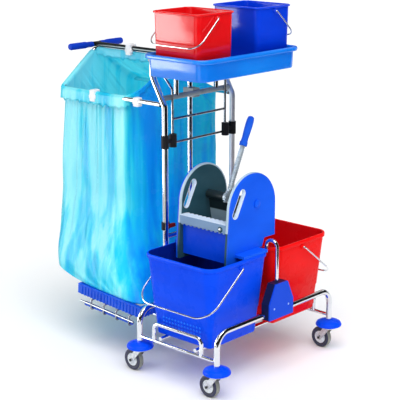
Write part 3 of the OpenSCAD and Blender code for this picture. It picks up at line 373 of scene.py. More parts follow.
zinc = surface(
    "zinc_plate", (0.5, 0.51, 0.53), (0.7, 0.71, 0.72), (0.22, 0.42), (160, 90, 700), 0.00003,
    metallic=1.0, detail=1)
flank_rubber = rubber("navy_flank_rubber", (0.014, 0.016, 0.048), (0.026, 0.029, 0.075))
tread_rubber = rubber("grey_tread_rubber", (0.2, 0.21, 0.17), (0.3, 0.31, 0.26))
nut_black = rubber("nut_black", (0.012, 0.016, 0.013), (0.022, 0.028, 0.024))
hub_plastic = surface(
    "pale_hub_plastic", (0.74, 0.78, 0.81), (0.86, 0.89, 0.9), (0.32, 0.5), (60, 200, 900), 0.00004,
    stops=(0.3, 0.7))
dark_seal = surface(
    "navy_seal", (0.008, 0.011, 0.03), (0.02, 0.025, 0.055), (0.5, 0.5), (80, 80, 900), 0.00005,
    stops=(0.3, 0.7))


def row_tree():
    """Nodes that repeat one shape along a line, each copy turned a little further than the last."""
    tree = bpy.data.node_groups.new("row_of_pieces", "GeometryNodeTree")
    sockets = [("Shape", "Object"), ("Count", "Int"), ("Start", "Vector"), ("Step", "Vector"),
               ("Turn", "Vector"), ("Finish", "Material")]
    for name, kind in sockets:
        tree.interface.new_socket(name, in_out="INPUT", socket_type=f"NodeSocket{kind}")
    tree.interface.new_socket("Geometry", in_out="OUTPUT", socket_type="NodeSocketGeometry")
    given = tree.nodes.new("NodeGroupInput").outputs
    places = {"Count": given["Count"], "Start Location": given["Start"], "Offset": given["Step"]}
    line = add_node(tree, "GeometryNodeMeshLine", places)
    shape = add_node(tree, "GeometryNodeObjectInfo", {"Object": given["Shape"]})
    index = tree.nodes.new("GeometryNodeInputIndex")
    turn = add_node(tree, "ShaderNodeVectorMath", {0: given["Turn"]})
    turn.operation = "SCALE"
    feed(turn, "Scale", index.outputs["Index"])
    row = add_node(tree, "GeometryNodeInstanceOnPoints", {
        "Points": line.outputs["Mesh"], "Instance": shape.outputs["Geometry"],
        "Rotation": turn.outputs["Vector"]})
    real = add_node(tree, "GeometryNodeRealizeInstances", {"Geometry": row.outputs["Instances"]})
    painted = {"Geometry": real.outputs["Geometry"], "Material": given["Finish"]}
    paint = add_node(tree, "GeometryNodeSetMaterial", painted)
    add_node(tree, "NodeGroupOutput", {"Geometry": paint.outputs["Geometry"]})
    return tree


ROW_TREE = row_tree()


def add_row(name, solid, count, body, slot, finish, place=Matrix(), start=(0, 0, 0), step=(0, 0, 0),
            turn=(0, 0, 0)):
    """A solid repeated by the row nodes, moved to its place as one plain mesh on a body."""
    one = add_object(f"{name}_shape", make_mesh(f"{name}_shape", *solid))
    host = add_object(f"{name}_host", bpy.data.meshes.new(f"{name}_host"))
    rule = host.modifiers.new("row", "NODES")
    rule.node_group = ROW_TREE
    values = {"Shape": one, "Count": count, "Start": start, "Step": step, "Turn": turn, "Finish": finish}
    for socket in ROW_TREE.interface.items_tree:
        if socket.in_out == "INPUT":
            rule[socket.identifier] = values[socket.name]
    shown = host.evaluated_get(bpy.context.evaluated_depsgraph_get())
    mesh = bpy.data.meshes.new_from_object(shown)
    for thing in (host, one):
        bpy.data.objects.remove(thing)
    mesh.transform(place)
    add_mesh(name, mesh, body, slot)


WHEEL_R = 0.038
TREAD_HALF = 0.0105
TYRE_IN_R = 0.0255
TREAD_FACING = 0.55
HUB_R = 0.0248
HUB_HALF = 0.0108
AXLE_R = 0.0041
NUT_OUT = 0.0152
SPOKES = 8
SPOKE_HALF_T, SPOKE_HALF = 0.0011, 0.0092
SPOKE_FROM, SPOKE_TO = 0.0085, 0.0216
tread = mirrored([
    (TYRE_IN_R, -0.0085), (0.0285, -0.0098), (0.0335, -TREAD_HALF), (0.0365, -0.0088),
    (WHEEL_R - 0.0002, -0.0055), (WHEEL_R, 0.0)])
disc = mirrored([
    (AXLE_R, -HUB_HALF), (0.0085, -HUB_HALF), (0.0095, -0.0098), (0.0098, -0.0072), (0.0205, -0.0066),
    (0.0218, -0.0092), (HUB_R, -0.0096), (0.0252, -0.0084)])
seal = mirrored([(0.0222, -0.0094), (HUB_R, -0.0099), (0.0262, -0.0096)])
dome = [
    (0.0, 0.0), (0.0066, 0.0), (0.0066, 0.0022), (0.0055, 0.0026), (0.0052, 0.0048), (0.0034, 0.0066),
    (0.0, 0.0072)]
spoke_outline = mirrored([(SPOKE_FROM, -SPOKE_HALF_T), (SPOKE_TO, -SPOKE_HALF_T)])
spoke = slab(spoke_outline, -SPOKE_HALF, SPOKE_HALF)
for corner in ("fl", "fr", "rl", "rr"):
    wheel = f"wheel_{corner}"
    centre = middle(f"caster_tyre_{corner}")
    place = shift(*centre) @ spin(90, "Y")
    dress(zinc, f"caster_fork_{corner}")
    rolled = moved(turned(tread, 72), place)
    tyre = add_piece(f"tyre_{corner}", rolled, wheel, "tyre", flank_rubber, tread_rubber)
    for face in tyre.data.polygons:
        face.material_index = 1 if abs(face.normal.x) < TREAD_FACING else 0
    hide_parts(f"caster_tyre_{corner}")
    hub = add_piece(f"hub_{corner}", moved(turned(disc), place), wheel, "hub_plastic", hub_plastic)
    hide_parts(f"caster_hub_{corner}")
    add_row(f"spokes_{corner}", spoke, SPOKES, wheel, "hub_plastic", hub_plastic, place,
            turn=(0, 0, 2 * pi / SPOKES))
    add_piece(f"wheel_seal_{corner}", moved(turned(seal, 64), place), wheel, "tyre", dark_seal)
    for side, end in ((-1, "in"), (1, "out")):
        nut_at = shift(centre.x + side * NUT_OUT, centre.y, centre.z) @ spin(90 * side, "Y")
        nut = moved(turned(dome, 6), nut_at)
        add_piece(f"axle_nut_{corner}_{end}", nut, f"caster_{corner}", "fork_steel", nut_black)


# Blue and red moulded plastic: polypropylene with a soft gloss, a faint moulding grain, flow marks
# that wander over the sides, and duller patches where hands and mops have rubbed it.
def moulded(name, dark, light, gloss=(0.22, 0.38), shine=0.06):
    """Moulded plastic between two shades."""
    finish, tree, shader = new_finish(name, light, gloss[0], shine=shine)
    flow = grain(tree, 5, stretch=(1, 1, 2.5))
    feed(shader, "Base Color", shades(tree, flow, (0.3, dark), (0.7, light)))
    feed(shader, "Roughness", between(tree, grain(tree, 22), *gloss))
    waves = relief(shader, grain(tree, 14), 0.0006)
    relief(shader, grain(tree, 1100), 0.00004, under=waves)
    return finish


blue_plastic = moulded("blue_plastic", (0.001, 0.06, 0.8), (0.002, 0.08, 0.93))
red_plastic = moulded("red_plastic", (0.84, 0.002, 0.003), (0.95, 0.004, 0.005))


# Bumper discs: soft blue mouldings on the swivel stems, with a domed top, a groove round the rim and a
# flat foot. They take the knocks before the casters and the rails do.
def joined_up(*solids):
    """Several solids as one."""
    verts, faces = [], []
    for solid_verts, solid_faces in solids:
        faces.extend(tuple(i + len(verts) for i in face) for face in solid_faces)
        verts.extend(solid_verts)
    return verts, faces


def copies(solid, places):
    """One solid at several places, as one."""
    return joined_up(*[moved(solid, place) for place in places])


BUMPER_R = 0.046
BUMPER_T = 0.026
BUMPER_BORE_R = 0.0063
bumper_profile = [
    (BUMPER_BORE_R, 0.0), (0.03, 0.0), (0.0325, 0.0012), (0.0335, 0.004), (0.042, 0.0048),
    (BUMPER_R - 0.0008, 0.0068), (BUMPER_R, 0.0095), (BUMPER_R - 0.0006, 0.0122), (0.0438, 0.0134),
    (0.0432, 0.0146), (0.0436, 0.0158), (0.042, 0.0188), (0.036, 0.0222), (0.027, 0.0245),
    (0.018, 0.0256), (0.012, BUMPER_T), (BUMPER_BORE_R, BUMPER_T)]
bumper_low, bumper_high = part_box("caster_bumpers")
bumper_places = []
for x in (bumper_low.x + BUMPER_R, bumper_high.x - BUMPER_R):
    for y in (bumper_low.y + BUMPER_R, bumper_high.y - BUMPER_R):
        bumper_places.append(shift(x, y, bumper_low.z))
four_bumpers = copies(turned(bumper_profile, 64), bumper_places)
bumpers = add_piece("bumper_discs", four_bumpers, "cart", "blue_plastic", blue_plastic)
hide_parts("caster_bumpers")


# Mop buckets: injection moulded tubs with a rolled rim, a step low in their sides and round ears
# that take the wire bails. They stand on the runners, the blue one carries the wringer.
def rounded_outline(half_x, half_y, radius, arc):
    """Points round a rectangle with rounded corners."""
    points = []
    for quarter, (side_x, side_y) in enumerate([(1, 1), (-1, 1), (-1, -1), (1, -1)]):
        for step in range(arc + 1):
            angle = radians(90 * quarter + 90 * step / arc)
            points.append((side_x * (half_x - radius) + radius * cos(angle),
                           side_y * (half_y - radius) + radius * sin(angle)))
    return points


def tub(half_x, half_y, radius, profile, arc=10):
    """A tub lofted through (inset, height) pairs, up its outside, over the rim and down its inside."""
    rings = []
    for inset, height in profile:
        outline = rounded_outline(half_x - inset, half_y - inset, max(radius - inset, 0.004), arc)
        rings.append([(x, y, height) for x, y in outline])
    return loft(rings, close_first=True, close_last=True)


LIP_OUT, WALL_T, STEP_IN = 0.005, 0.003, 0.003
EAR_R, EAR_L = 0.009, 0.0085
EAR_SUNK, EAR_BELOW = 0.0004, 0.01
INNER_FACING = 0.05


def bucket_profile(height, lip_h, draw, step_z):
    """(inset, height) pairs of a bucket with a rim band and one step in its sides."""
    band = height - lip_h
    step = LIP_OUT + draw * (1 - step_z / band)
    foot = LIP_OUT + draw + STEP_IN
    inner = LIP_OUT + WALL_T
    return [
        (foot + 0.01, 0.0), (foot + 0.003, 0.0012), (foot, 0.006), (step + STEP_IN, step_z),
        (step + 0.0004, step_z + 0.004), (LIP_OUT + 0.0006, band - 0.0015), (0.0012, band),
        (0.0, band + 0.0012), (0.0, height - 0.003), (0.0012, height - 0.0006), (0.003, height),
        (inner - 0.002, height), (inner - 0.0004, height - 0.0012), (inner, height - 0.004),
        (step + WALL_T, step_z + 0.004), (step + STEP_IN + WALL_T, step_z), (foot + WALL_T, 0.012),
        (foot + WALL_T + 0.004, 0.006), (foot + WALL_T + 0.012, 0.004)]


def ear(y, z, side):
    """A round boss on a bucket's end wall, under the rim."""
    profile = [(0.0, 0.0), (EAR_R - 0.0012, 0.0), (EAR_R, 0.0012), (EAR_R, EAR_L), (0.0, EAR_L)]
    return moved(turned(profile, 32), shift(0, side * y, z) @ spin(90 * side, "X"))


def add_bucket(name, node, body, slot, finish, inside, radius, profile, ear_z):
    """A whole bucket in its node's place, with its own finish on the inner walls."""
    low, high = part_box(node)
    half_x, half_y = (high.x - low.x) / 2, (high.y - low.y) / 2
    ears = [ear(half_y - EAR_SUNK, ear_z, side) for side in (-1, 1)]
    bucket = joined_up(tub(half_x, half_y, radius, profile), *ears)
    place = shift((low.x + high.x) / 2, (low.y + high.y) / 2, low.z)
    piece = add_piece(name, moved(bucket, place), body, slot, finish, inside, smooth=50)
    for face in piece.data.polygons:
        to_middle = place.translation - face.center
        to_middle.z = 0
        face.material_index = 1 if to_middle.dot(face.normal) > INNER_FACING else 0
    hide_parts(node)


MOP_H = 0.282
MOP_CORNER = 0.048
MOP_LIP_H = 0.014
MOP_DRAW = 0.028
MOP_STEP_Z = 0.09
mop_profile = bucket_profile(MOP_H, MOP_LIP_H, MOP_DRAW, MOP_STEP_Z)
MOP_EAR_Z = MOP_H - MOP_LIP_H - EAR_BELOW
# The mop buckets' inner walls get darker shades of their plastic: painted shade inside the tubs.
blue_inside = moulded("blue_inside_painted_shade", (0.001, 0.012, 0.2), (0.001, 0.02, 0.32))
red_inside = moulded("red_inside_painted_shade", (0.62, 0.001, 0.004), (0.74, 0.002, 0.006))
for colour, finish, inside in (("blue", blue_plastic, blue_inside), ("red", red_plastic, red_inside)):
    add_bucket(f"mop_bucket_{colour}", f"bucket_{colour}", f"{colour}_bucket", f"{colour}_plastic", finish,
               inside, MOP_CORNER, mop_profile, MOP_EAR_Z)

# Rows of small moulded studs low on each bucket's outer side.
STUD_ROWS = 4
STUD_COUNT = 13
STUD_PITCH = 0.0135
STUD_LOW_Z = 0.026
stud_profile = [(0.0, -0.0015), (0.0042, -0.0015), (0.0038, 0.0004), (0.0022, 0.0013), (0.0, 0.0016)]
MOP_DRAFT = degrees(atan(MOP_DRAW / (MOP_H - MOP_LIP_H)))
# The blue studs are a paler blue than their bucket: painted highlights on the studs.
stud_blue = moulded("stud_blue_painted_highlight", (0.01, 0.14, 0.9), (0.016, 0.2, 1.0))
for colour, side, finish in (("blue", -1, stud_blue), ("red", 1, red_plastic)):
    low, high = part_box(f"bucket_{colour}")
    stud_places = []
    for row in range(STUD_ROWS):
        z = STUD_LOW_Z + row * STUD_PITCH
        inset = LIP_OUT + MOP_DRAW * (1 - z / (MOP_H - MOP_LIP_H)) + STEP_IN
        x = low.x + inset if side < 0 else high.x - inset
        stud_places.append(shift(x, 0, low.z + z) @ spin(side * (90 + MOP_DRAFT), "Y"))
    start_y = (low.y + high.y) / 2 - STUD_PITCH * (STUD_COUNT - 1) / 2
    stud_column = copies(turned(stud_profile, 8), stud_places)
    add_row(f"bucket_studs_{colour}", stud_column, STUD_COUNT, f"{colour}_bucket", f"{colour}_plastic",
            finish, start=(0, start_y, 0), step=(0, STUD_PITCH, 0))


# Small buckets: the same make in a smaller size, for cloths, with nearly upright glossy sides. They
# stand side by side in the tray.
SMALL_H = 0.208
SMALL_CORNER = 0.026
SMALL_LIP_H = 0.006
SMALL_DRAW = 0.005
SMALL_STEP_Z = 0.06
small_profile = bucket_profile(SMALL_H, SMALL_LIP_H, SMALL_DRAW, SMALL_STEP_Z)
SMALL_EAR_Z = SMALL_H - SMALL_LIP_H - EAR_BELOW
glossy_red = moulded(
    "glossy_red_plastic", (0.78, 0.003, 0.006), (0.88, 0.005, 0.008), gloss=(0.1, 0.18), shine=0.5)
glossy_blue = moulded(
    "glossy_blue_plastic", (0.001, 0.042, 0.66), (0.002, 0.058, 0.8), gloss=(0.1, 0.18), shine=0.25)
for colour, finish in (("red", glossy_red), ("blue", glossy_blue)):
    add_bucket(f"cloth_bucket_{colour}", f"small_bucket_{colour}", f"small_{colour}", f"{colour}_plastic",
               finish, finish, SMALL_CORNER, small_profile, SMALL_EAR_Z)


# Tray: one shallow moulding with a broad turned-out lip that has a raised bead along each edge.
TRAY_H = 0.072
TRAY_LIP = 0.013
TRAY_CORNER = 0.046
tray_blue = moulded(
    "tray_blue_plastic", (0.002, 0.18, 0.82), (0.004, 0.24, 0.92), gloss=(0.1, 0.2), shine=0.62)
tray_low, tray_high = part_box("tray")
tray_half_x, tray_half_y = (tray_high.x - tray_low.x) / 2, (tray_high.y - tray_low.y) / 2
tray_profile = [
    (TRAY_LIP + 0.012, 0.0), (TRAY_LIP + 0.005, 0.0008), (TRAY_LIP + 0.003, 0.004),
    (TRAY_LIP + 0.0006, TRAY_H - 0.014), (0.002, TRAY_H - 0.013), (0.0, TRAY_H - 0.0115),
    (0.0, TRAY_H - 0.003), (0.0012, TRAY_H - 0.0006), (0.0032, TRAY_H), (0.0052, TRAY_H - 0.0008),
    (0.0062, TRAY_H - 0.0024), (0.0112, TRAY_H - 0.0024), (0.0124, TRAY_H - 0.0008), (0.0142, TRAY_H),
    (0.016, TRAY_H - 0.0008), (0.017, TRAY_H - 0.003), (0.021, 0.018), (0.023, 0.0075), (0.03, 0.004)]
tray_solid = tub(tray_half_x, tray_half_y, TRAY_CORNER, tray_profile, arc=14)
tray_at = shift(middle("tray").x, middle("tray").y, tray_low.z)
tray = add_piece("top_tray", moved(tray_solid, tray_at), "cart", "blue_plastic", tray_blue, smooth=60)
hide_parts("tray")


# Wringer: a press that stands on the blue bucket's rim. Grey cheek plates inside blue covers, with a
# pale bead pressed over their joint edges, a blue front panel and a pale fixed jaw.
grey_plastic = moulded("grey_press_plastic", (0.02, 0.07, 0.095), (0.034, 0.105, 0.14), gloss=(0.3, 0.5))
pale_plastic = moulded("pale_press_plastic", (0.38, 0.52, 0.62), (0.52, 0.65, 0.75), gloss=(0.3, 0.5))
jaw_plastic = moulded("jaw_plastic", (0.17, 0.28, 0.46), (0.24, 0.37, 0.56), gloss=(0.3, 0.5))
cover_blue = moulded("cover_blue_plastic", (0.003, 0.09, 0.76), (0.006, 0.115, 0.86), gloss=(0.3, 0.45))
dress(grey_plastic, "wringer_cheek_front", "wringer_cheek_rear")
dress(cover_blue, "wringer_cover_front", "wringer_cover_rear")
dress(blue_plastic, "wringer_panel")
dress(jaw_plastic, "wringer_fixed_jaw")

CHEEK_R = 0.115
CHEEK_T = 0.008
COVER_T = 0.006
BEAD_PROUD = 0.0022
BEAD_OVER = 0.0008
BEAD_UNDER = 0.003
BEAD_STEPS = 60
FOOT_ABOVE_RIM = 0.008
OVERHANG_Z = 0.036
LEDGE_T = 0.027
LEDGE_DEEP = 0.03
jaw_low, jaw_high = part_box("wringer_fixed_jaw")
ledge_low_z = jaw_high.z - LEDGE_T
cheek_low, cheek_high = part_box("wringer_cheek_front")
cheek_x, cheek_z = cheek_high.x - CHEEK_R, cheek_high.z - CHEEK_R
rim_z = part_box("bucket_blue")[1].z
edge_foot = Vector((cheek_low.x - cheek_x, rim_z + FOOT_ABOVE_RIM - cheek_z))
edge_top = Vector((-CHEEK_R, 0.0))
at_ledge = (ledge_low_z - cheek_z - edge_foot.y) / (edge_top.y - edge_foot.y)
bead_path = [edge_foot.lerp(edge_top, at_ledge)]
for step in range(BEAD_STEPS + 1):
    angle = radians(180 - 180 * step / BEAD_STEPS)
    bead_path.append(CHEEK_R * Vector((cos(angle), sin(angle))))
bead_path += [Vector((CHEEK_R, part * (rim_z + OVERHANG_Z - cheek_z))) for part in (0.5, 1.0)]


def edge_bead(path, half_width, proud, under):
    """A rounded strip that follows a flat path; x and z lie in the path's plane and y across it."""
    section = ((-under, -1), (proud * 0.3, -1), (proud, -0.7), (proud, 0.7), (proud * 0.3, 1), (-under, 1))
    rings = []
    for i, point in enumerate(path):
        ahead = path[min(i + 1, len(path) - 1)] - path[max(i - 1, 0)]
        out = Vector((-ahead.y, ahead.x)).normalized()
        ring = []
        for lift, across in section:
            spot = point + out * lift
            ring.append((spot.x, across * half_width, spot.y))
        rings.append(ring)
    return loft(rings, close_first=True, close_last=True)


SLOT_L, SLOT_W = 0.104, 0.03
SLOT_LEAN = 28
SLOT_FIT = 0.0003
SLOT_LEFT, SLOT_UP = 0.62 * CHEEK_R, 0.22 * CHEEK_R
LINER_T = 0.0016
SLOT_ARC_STEPS = 12


def slot_outline(shrink):
    """Points round a hand slot's straight sides and round ends, upright and about its middle."""
    radius = SLOT_W / 2 - shrink
    points = []
    for centre_z, start in ((SLOT_L / 2 - SLOT_W / 2, 0), (SLOT_W / 2 - SLOT_L / 2, 180)):
        for step in range(SLOT_ARC_STEPS + 1):
            angle = radians(start + 180 * step / SLOT_ARC_STEPS)
            points.append((radius * cos(angle), centre_z + radius * sin(angle)))
    return points


slot_white = moulded("slot_white_plastic", (0.62, 0.74, 0.9), (0.74, 0.84, 0.95), gloss=(0.3, 0.5))
bead = edge_bead(bead_path, CHEEK_T / 2 + BEAD_OVER, BEAD_PROUD, BEAD_UNDER)
liner_in = SLOT_FIT + LINER_T
for end, outside in (("front", -1), ("rear", 1)):
    plate = middle(f"wringer_cheek_{end}")
    add_piece(f"cheek_bead_{end}", moved(bead, shift(cheek_x, plate.y, cheek_z)), "wringer",
              "light_plastic", pale_plastic)
    depth = outside * (CHEEK_T + COVER_T)
    section = ((SLOT_FIT, 0.0), (SLOT_FIT, depth), (liner_in, depth), (liner_in, 0.0), (SLOT_FIT, 0.0))
    liner_rings = [[(x, y, z) for x, z in slot_outline(shrink)] for shrink, y in section]
    slot_at = shift(cheek_x - SLOT_LEFT, plate.y - outside * CHEEK_T / 2, cheek_z + SLOT_UP)
    add_piece(f"slot_liner_{end}", moved(loft(liner_rings), slot_at @ spin(SLOT_LEAN, "Y")), "wringer",
              "light_plastic", slot_white)

# The fixed jaw's ledge: a pale plate with a saw-toothed back edge on top, whose pale colour also paints the
# light on the ledge's top, small teeth under its front edge, and a screw with a dark washer that holds it.
TOOTH = (0.0042, 0.0052, 0.003)
TOOTH_IN, TOOTH_DOWN = 0.0048, 0.0015
TOOTH_COUNT = 11
PLATE_T, PLATE_SUNK, PLATE_IN = 0.002, 0.0005, 0.001
SAW_DEEP = 0.006
SCREW_IN, SCREW_UP = 0.022, 0.01


def block(half_x, half_y, half_z, radius, edge=0.0008):
    """A block with rounded corners and softened rims, about the origin."""
    profile = [(edge, -half_z), (0.0, edge - half_z), (0.0, half_z - edge), (edge, half_z)]
    return tub(half_x, half_y, radius, profile, arc=4)


tooth_step = (jaw_high.y - jaw_low.y) / TOOTH_COUNT
first_tooth = (jaw_low.x + TOOTH_IN, jaw_low.y + tooth_step / 2, ledge_low_z - TOOTH_DOWN)
add_row("jaw_teeth", block(*TOOTH, 0.001), TOOTH_COUNT, "wringer", "light_plastic", jaw_plastic,
        start=first_tooth, step=(0, tooth_step, 0))
plate_x = jaw_low.x + PLATE_IN
saw_outline = [(plate_x, jaw_high.y - PLATE_IN), (plate_x, jaw_low.y + PLATE_IN)]
for tooth in range(TOOTH_COUNT):
    for share, reach in ((0.05, 0.0), (0.35, SAW_DEEP), (0.65, SAW_DEEP), (0.95, 0.0)):
        saw_outline.append((jaw_low.x + LEDGE_DEEP + reach, jaw_low.y + (tooth + share) * tooth_step))
# The plate's pale colour is partly painted light on the ledge's top.
jaw_plate = slab(saw_outline, jaw_high.z - PLATE_SUNK, jaw_high.z + PLATE_T)
add_piece("jaw_plate", jaw_plate, "wringer", "light_plastic", slot_white)

screw_at = shift(jaw_low.x, jaw_low.y + SCREW_IN, ledge_low_z + SCREW_UP) @ spin(-90, "Y")
washer_profile = [(0.0, -0.002), (0.0098, -0.002), (0.0098, 0.0006), (0.009, 0.0012), (0.0, 0.0012)]
add_piece("jaw_washer", moved(turned(washer_profile, 28), screw_at), "wringer", "light_plastic", grey_plastic)
screw_profile = [(0.0, 0.0), (0.0056, 0.0), (0.0056, 0.0022), (0.004, 0.004), (0.0, 0.0048)]
add_piece("jaw_screw", moved(turned(screw_profile, 24), screw_at), "wringer", "fork_steel", zinc)


# Moving jaw: the hub on the press shaft and the plate at its foot that meets the mop; the finish is dark
# above a set height and pale below it. Blue caps close the shaft's ends outside the covers.
JAW_PALE_Z, JAW_FADE = 0.54, 0.002
moving_jaw = surface(
    "moving_jaw_plastic", (0.36, 0.5, 0.56), (0.01, 0.022, 0.026), (0.35, 0.55), (None, 22, 900), 0.00005,
    step=("Z", JAW_PALE_Z - JAW_FADE, JAW_PALE_Z + JAW_FADE))
dress(moving_jaw, "wringer_jaw")
CAP_R, CAP_IN_R = 0.014, 0.0118
CAP_DEPTH = 0.004
cap_profile = [
    (0.0, -CAP_DEPTH), (CAP_IN_R, -CAP_DEPTH), (CAP_IN_R, -0.0002), (0.0124, -CAP_DEPTH),
    (CAP_R, -CAP_DEPTH), (CAP_R, 0.0), (CAP_R - 0.0012, 0.001), (0.0, 0.0016)]
shaft = middle("wringer_shaft")
shaft_low, shaft_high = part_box("wringer_shaft")
cap_places = []
for y, turn in ((shaft_low.y, 90), (shaft_high.y, -90)):
    cap_places.append(shift(shaft.x, y, shaft.z) @ spin(turn, "X"))
add_piece("shaft_caps", copies(turned(cap_profile, 40), cap_places), "press", "blue_plastic", cover_blue)


# Press lever: a ribbed metal bar on the press shaft, with a toothed sector at its hub that turns with
# the jaw, and a blue grip pushed over its top.
lever_metal = surface(
    "lever_metal", (0.42, 0.52, 0.6), (0.64, 0.72, 0.78), (0.3, 0.5), (90, 160, 600), 0.00006,
    metallic=0.5, stops=(0.3, 0.7))
dress(lever_metal, "wringer_lever")

LEVER_LEAN = 25
LEVER_R = 0.008
LEVER_L = 0.286
LEVER_GRIP_L = 0.105
RIB_COUNT = 19
RIB_PITCH = 0.0078
RIB_FROM = 0.026
lever_y = middle("wringer_grip").y
lever_at = shift(shaft.x, lever_y, shaft.z) @ spin(LEVER_LEAN, "Y")
rib_profile = mirrored([(LEVER_R - 0.001, -0.0022), (LEVER_R + 0.0004, -0.0022), (LEVER_R + 0.0014, -0.001)])
add_row("lever_ribs", turned(rib_profile, 20), RIB_COUNT, "press", "lever_metal", lever_metal, lever_at,
        start=(0, 0, RIB_FROM), step=(0, 0, RIB_PITCH))

SECTOR_R, SECTOR_ROOT_R = 0.034, 0.029
SECTOR_FROM, SECTOR_ARC = 200, 150
SECTOR_TEETH = 9
SECTOR_HALF_T = 0.004
SECTOR_BESIDE = 0.013
sector_outline = []
for tooth in range(SECTOR_TEETH):
    for share, radius in ((0.0, SECTOR_ROOT_R), (0.3, SECTOR_R), (0.6, SECTOR_R), (0.9, SECTOR_ROOT_R)):
        angle = radians(SECTOR_FROM - SECTOR_ARC * (tooth + share) / SECTOR_TEETH)
        sector_outline.append((radius * cos(angle), radius * sin(angle)))
sector_outline += [(0.01, 0.004), (0.0, -0.012), (-0.012, -0.008)]
sector = slab(sector_outline, -SECTOR_HALF_T, SECTOR_HALF_T)
sector_at = shift(shaft.x, lever_y - SECTOR_BESIDE, shaft.z) @ spin(90, "X")
add_piece("lever_sector", moved(sector, sector_at), "press", "lever_metal", lever_metal)

grip_blue = moulded("grip_blue", (0.01, 0.085, 0.6), (0.016, 0.13, 0.78), gloss=(0.45, 0.65))
grip_foot = LEVER_L - LEVER_GRIP_L
grip_profile = [
    (LEVER_R, grip_foot), (0.0128, grip_foot), (0.0136, grip_foot + 0.002), (0.0136, grip_foot + 0.012),
    (0.0116, grip_foot + 0.017), (0.0112, grip_foot + 0.03), (0.0122, grip_foot + 0.048),
    (0.013, grip_foot + 0.07), (0.0126, grip_foot + 0.09), (0.0105, LEVER_L - 0.005),
    (0.006, LEVER_L - 0.0012), (0.0, LEVER_L), (0.0, LEVER_L - 0.006), (LEVER_R, LEVER_L - 0.006)]
lever_grip = add_piece("lever_grip", moved(turned(grip_profile, 40), lever_at), "press", "grip", grip_blue)
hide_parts("wringer_grip")


# Push handle grips: blue sleeves on the ends of the handle's crossbar, thick for the hand and stepped
# down to a slim collar beside the stem.
HANDLE_R = 0.009
HAND_GRIP_R = 0.012
hand_blue = moulded("hand_grip_blue", (0.003, 0.03, 0.38), (0.005, 0.05, 0.52), gloss=(0.45, 0.65))
for end, side in (("left", -1), ("right", 1)):
    low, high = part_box(f"grip_{end}")
    length = high.x - low.x
    hand_profile = [
        (HANDLE_R, length), (0.01, length), (0.0103, length - 0.002), (0.0103, length - 0.03),
        (0.0115, length - 0.032), (HAND_GRIP_R, length - 0.035), (HAND_GRIP_R, 0.006),
        (HAND_GRIP_R - 0.0018, 0.0016), (HAND_GRIP_R - 0.005, 0.0), (0.0, 0.0), (0.0, 0.004),
        (HANDLE_R, 0.004)]
    tip_x = low.x if side < 0 else high.x
    grip_at = shift(tip_x, (low.y + high.y) / 2, (low.z + high.z) / 2) @ spin(-90 * side, "Y")
    hand_grip = add_piece(f"hand_grip_{end}", moved(turned(hand_profile), grip_at), "cart", "grip", hand_blue)
    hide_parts(f"grip_{end}")


# Hook bracket: a moulded block clamped on the front rail that holds the tool hook, blue on its face and near
# black behind it as painted shade on its sides, and two pale caps over the screws in its pockets.
FACE_T, FACE_FADE_TO = 0.003, 0.007
POCKET_X = 0.0375
POCKET_Z = 0.242
POCKET_DEPTH = 0.007
bracket_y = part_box("hook_bracket")[0].y
# The blue turns near black a few millimetres behind the front face: painted shade on the bracket's sides.
bracket_blue = surface(
    "bracket_blue_painted_shade", (0.008, 0.068, 0.66), (0.008, 0.012, 0.055), (0.3, 0.45), (None, 22, 1100),
    0.00004, shine=0.06, step=("Y", bracket_y + FACE_T, bracket_y + FACE_FADE_TO))
dress(bracket_blue, "hook_bracket")
screw_cap = turned([(0.0, -0.001), (0.0046, -0.001), (0.0046, 0.005), (0.0036, 0.0066), (0.0, 0.0074)], 20)
pockets = []
for x in (-POCKET_X, POCKET_X):
    pockets.append(shift(x, bracket_y + POCKET_DEPTH, POCKET_Z) @ spin(90, "X"))
# The caps' pale blue is partly painted highlight, for the glints on the bracket's face.
cap_blue = moulded("screw_cap_plastic", (0.26, 0.4, 0.9), (0.34, 0.48, 0.96))
add_piece("bracket_screws", copies(screw_cap, pockets), "cart", "light_plastic", cap_blue)


# Mast fittings: black moulded clamps for the rack, and a small tool clip on the left upright with a
# dark red rubber sleeve on its finger.
black_plastic = moulded("black_plastic", (0.01, 0.01, 0.012), (0.02, 0.02, 0.023), gloss=(0.35, 0.55))
dress(black_plastic, "rack_clamps", "tool_clip")
finger_red = moulded("finger_red_rubber", (0.18, 0.006, 0.008), (0.27, 0.01, 0.012), gloss=(0.5, 0.7))
SLEEVE_HALF = (0.0175, 0.0062, 0.0062)
SLEEVE_PAST = 0.0012
FINGER_Y, FINGER_Z = 0.014, 0.009
clip_low, clip_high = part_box("tool_clip")
sleeve_at = shift(clip_high.x - SLEEVE_HALF[0] + SLEEVE_PAST, clip_high.y - FINGER_Y, clip_low.z + FINGER_Z)
sleeve = block(*SLEEVE_HALF, 0.003, edge=0.0015)
add_piece("finger_sleeve", moved(sleeve, sleeve_at), "cart", "black_plastic", finger_red)


# Bag platform: a ribbed blue moulding on two arms, with cross wires under it. A blue strip lies in the
# wires' hooked ends along each side.
platform_blue = moulded(
    "platform_blue_plastic", (0.002, 0.07, 0.62), (0.004, 0.115, 0.8), gloss=(0.2, 0.35), shine=0.3)
dress(platform_blue, "platform")
STRIP_HALF = (0.0038, 0.122, 0.0068)
STRIP_IN = 0.0118
STRIP_UP = 0.0215
PLATFORM_TILT = 4
wires_low, wires_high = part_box("platform_wires")
strip = block(*STRIP_HALF, 0.003, edge=0.0012)
strip_places = []
for x in (wires_low.x + STRIP_IN, wires_high.x - STRIP_IN):
    strip_at = shift(x, (wires_low.y + wires_high.y) / 2, wires_low.z + STRIP_UP)
    strip_places.append(strip_at @ spin(PLATFORM_TILT, "X"))
add_piece("hook_strips", copies(strip, strip_places), "cart", "blue_plastic", platform_blue)


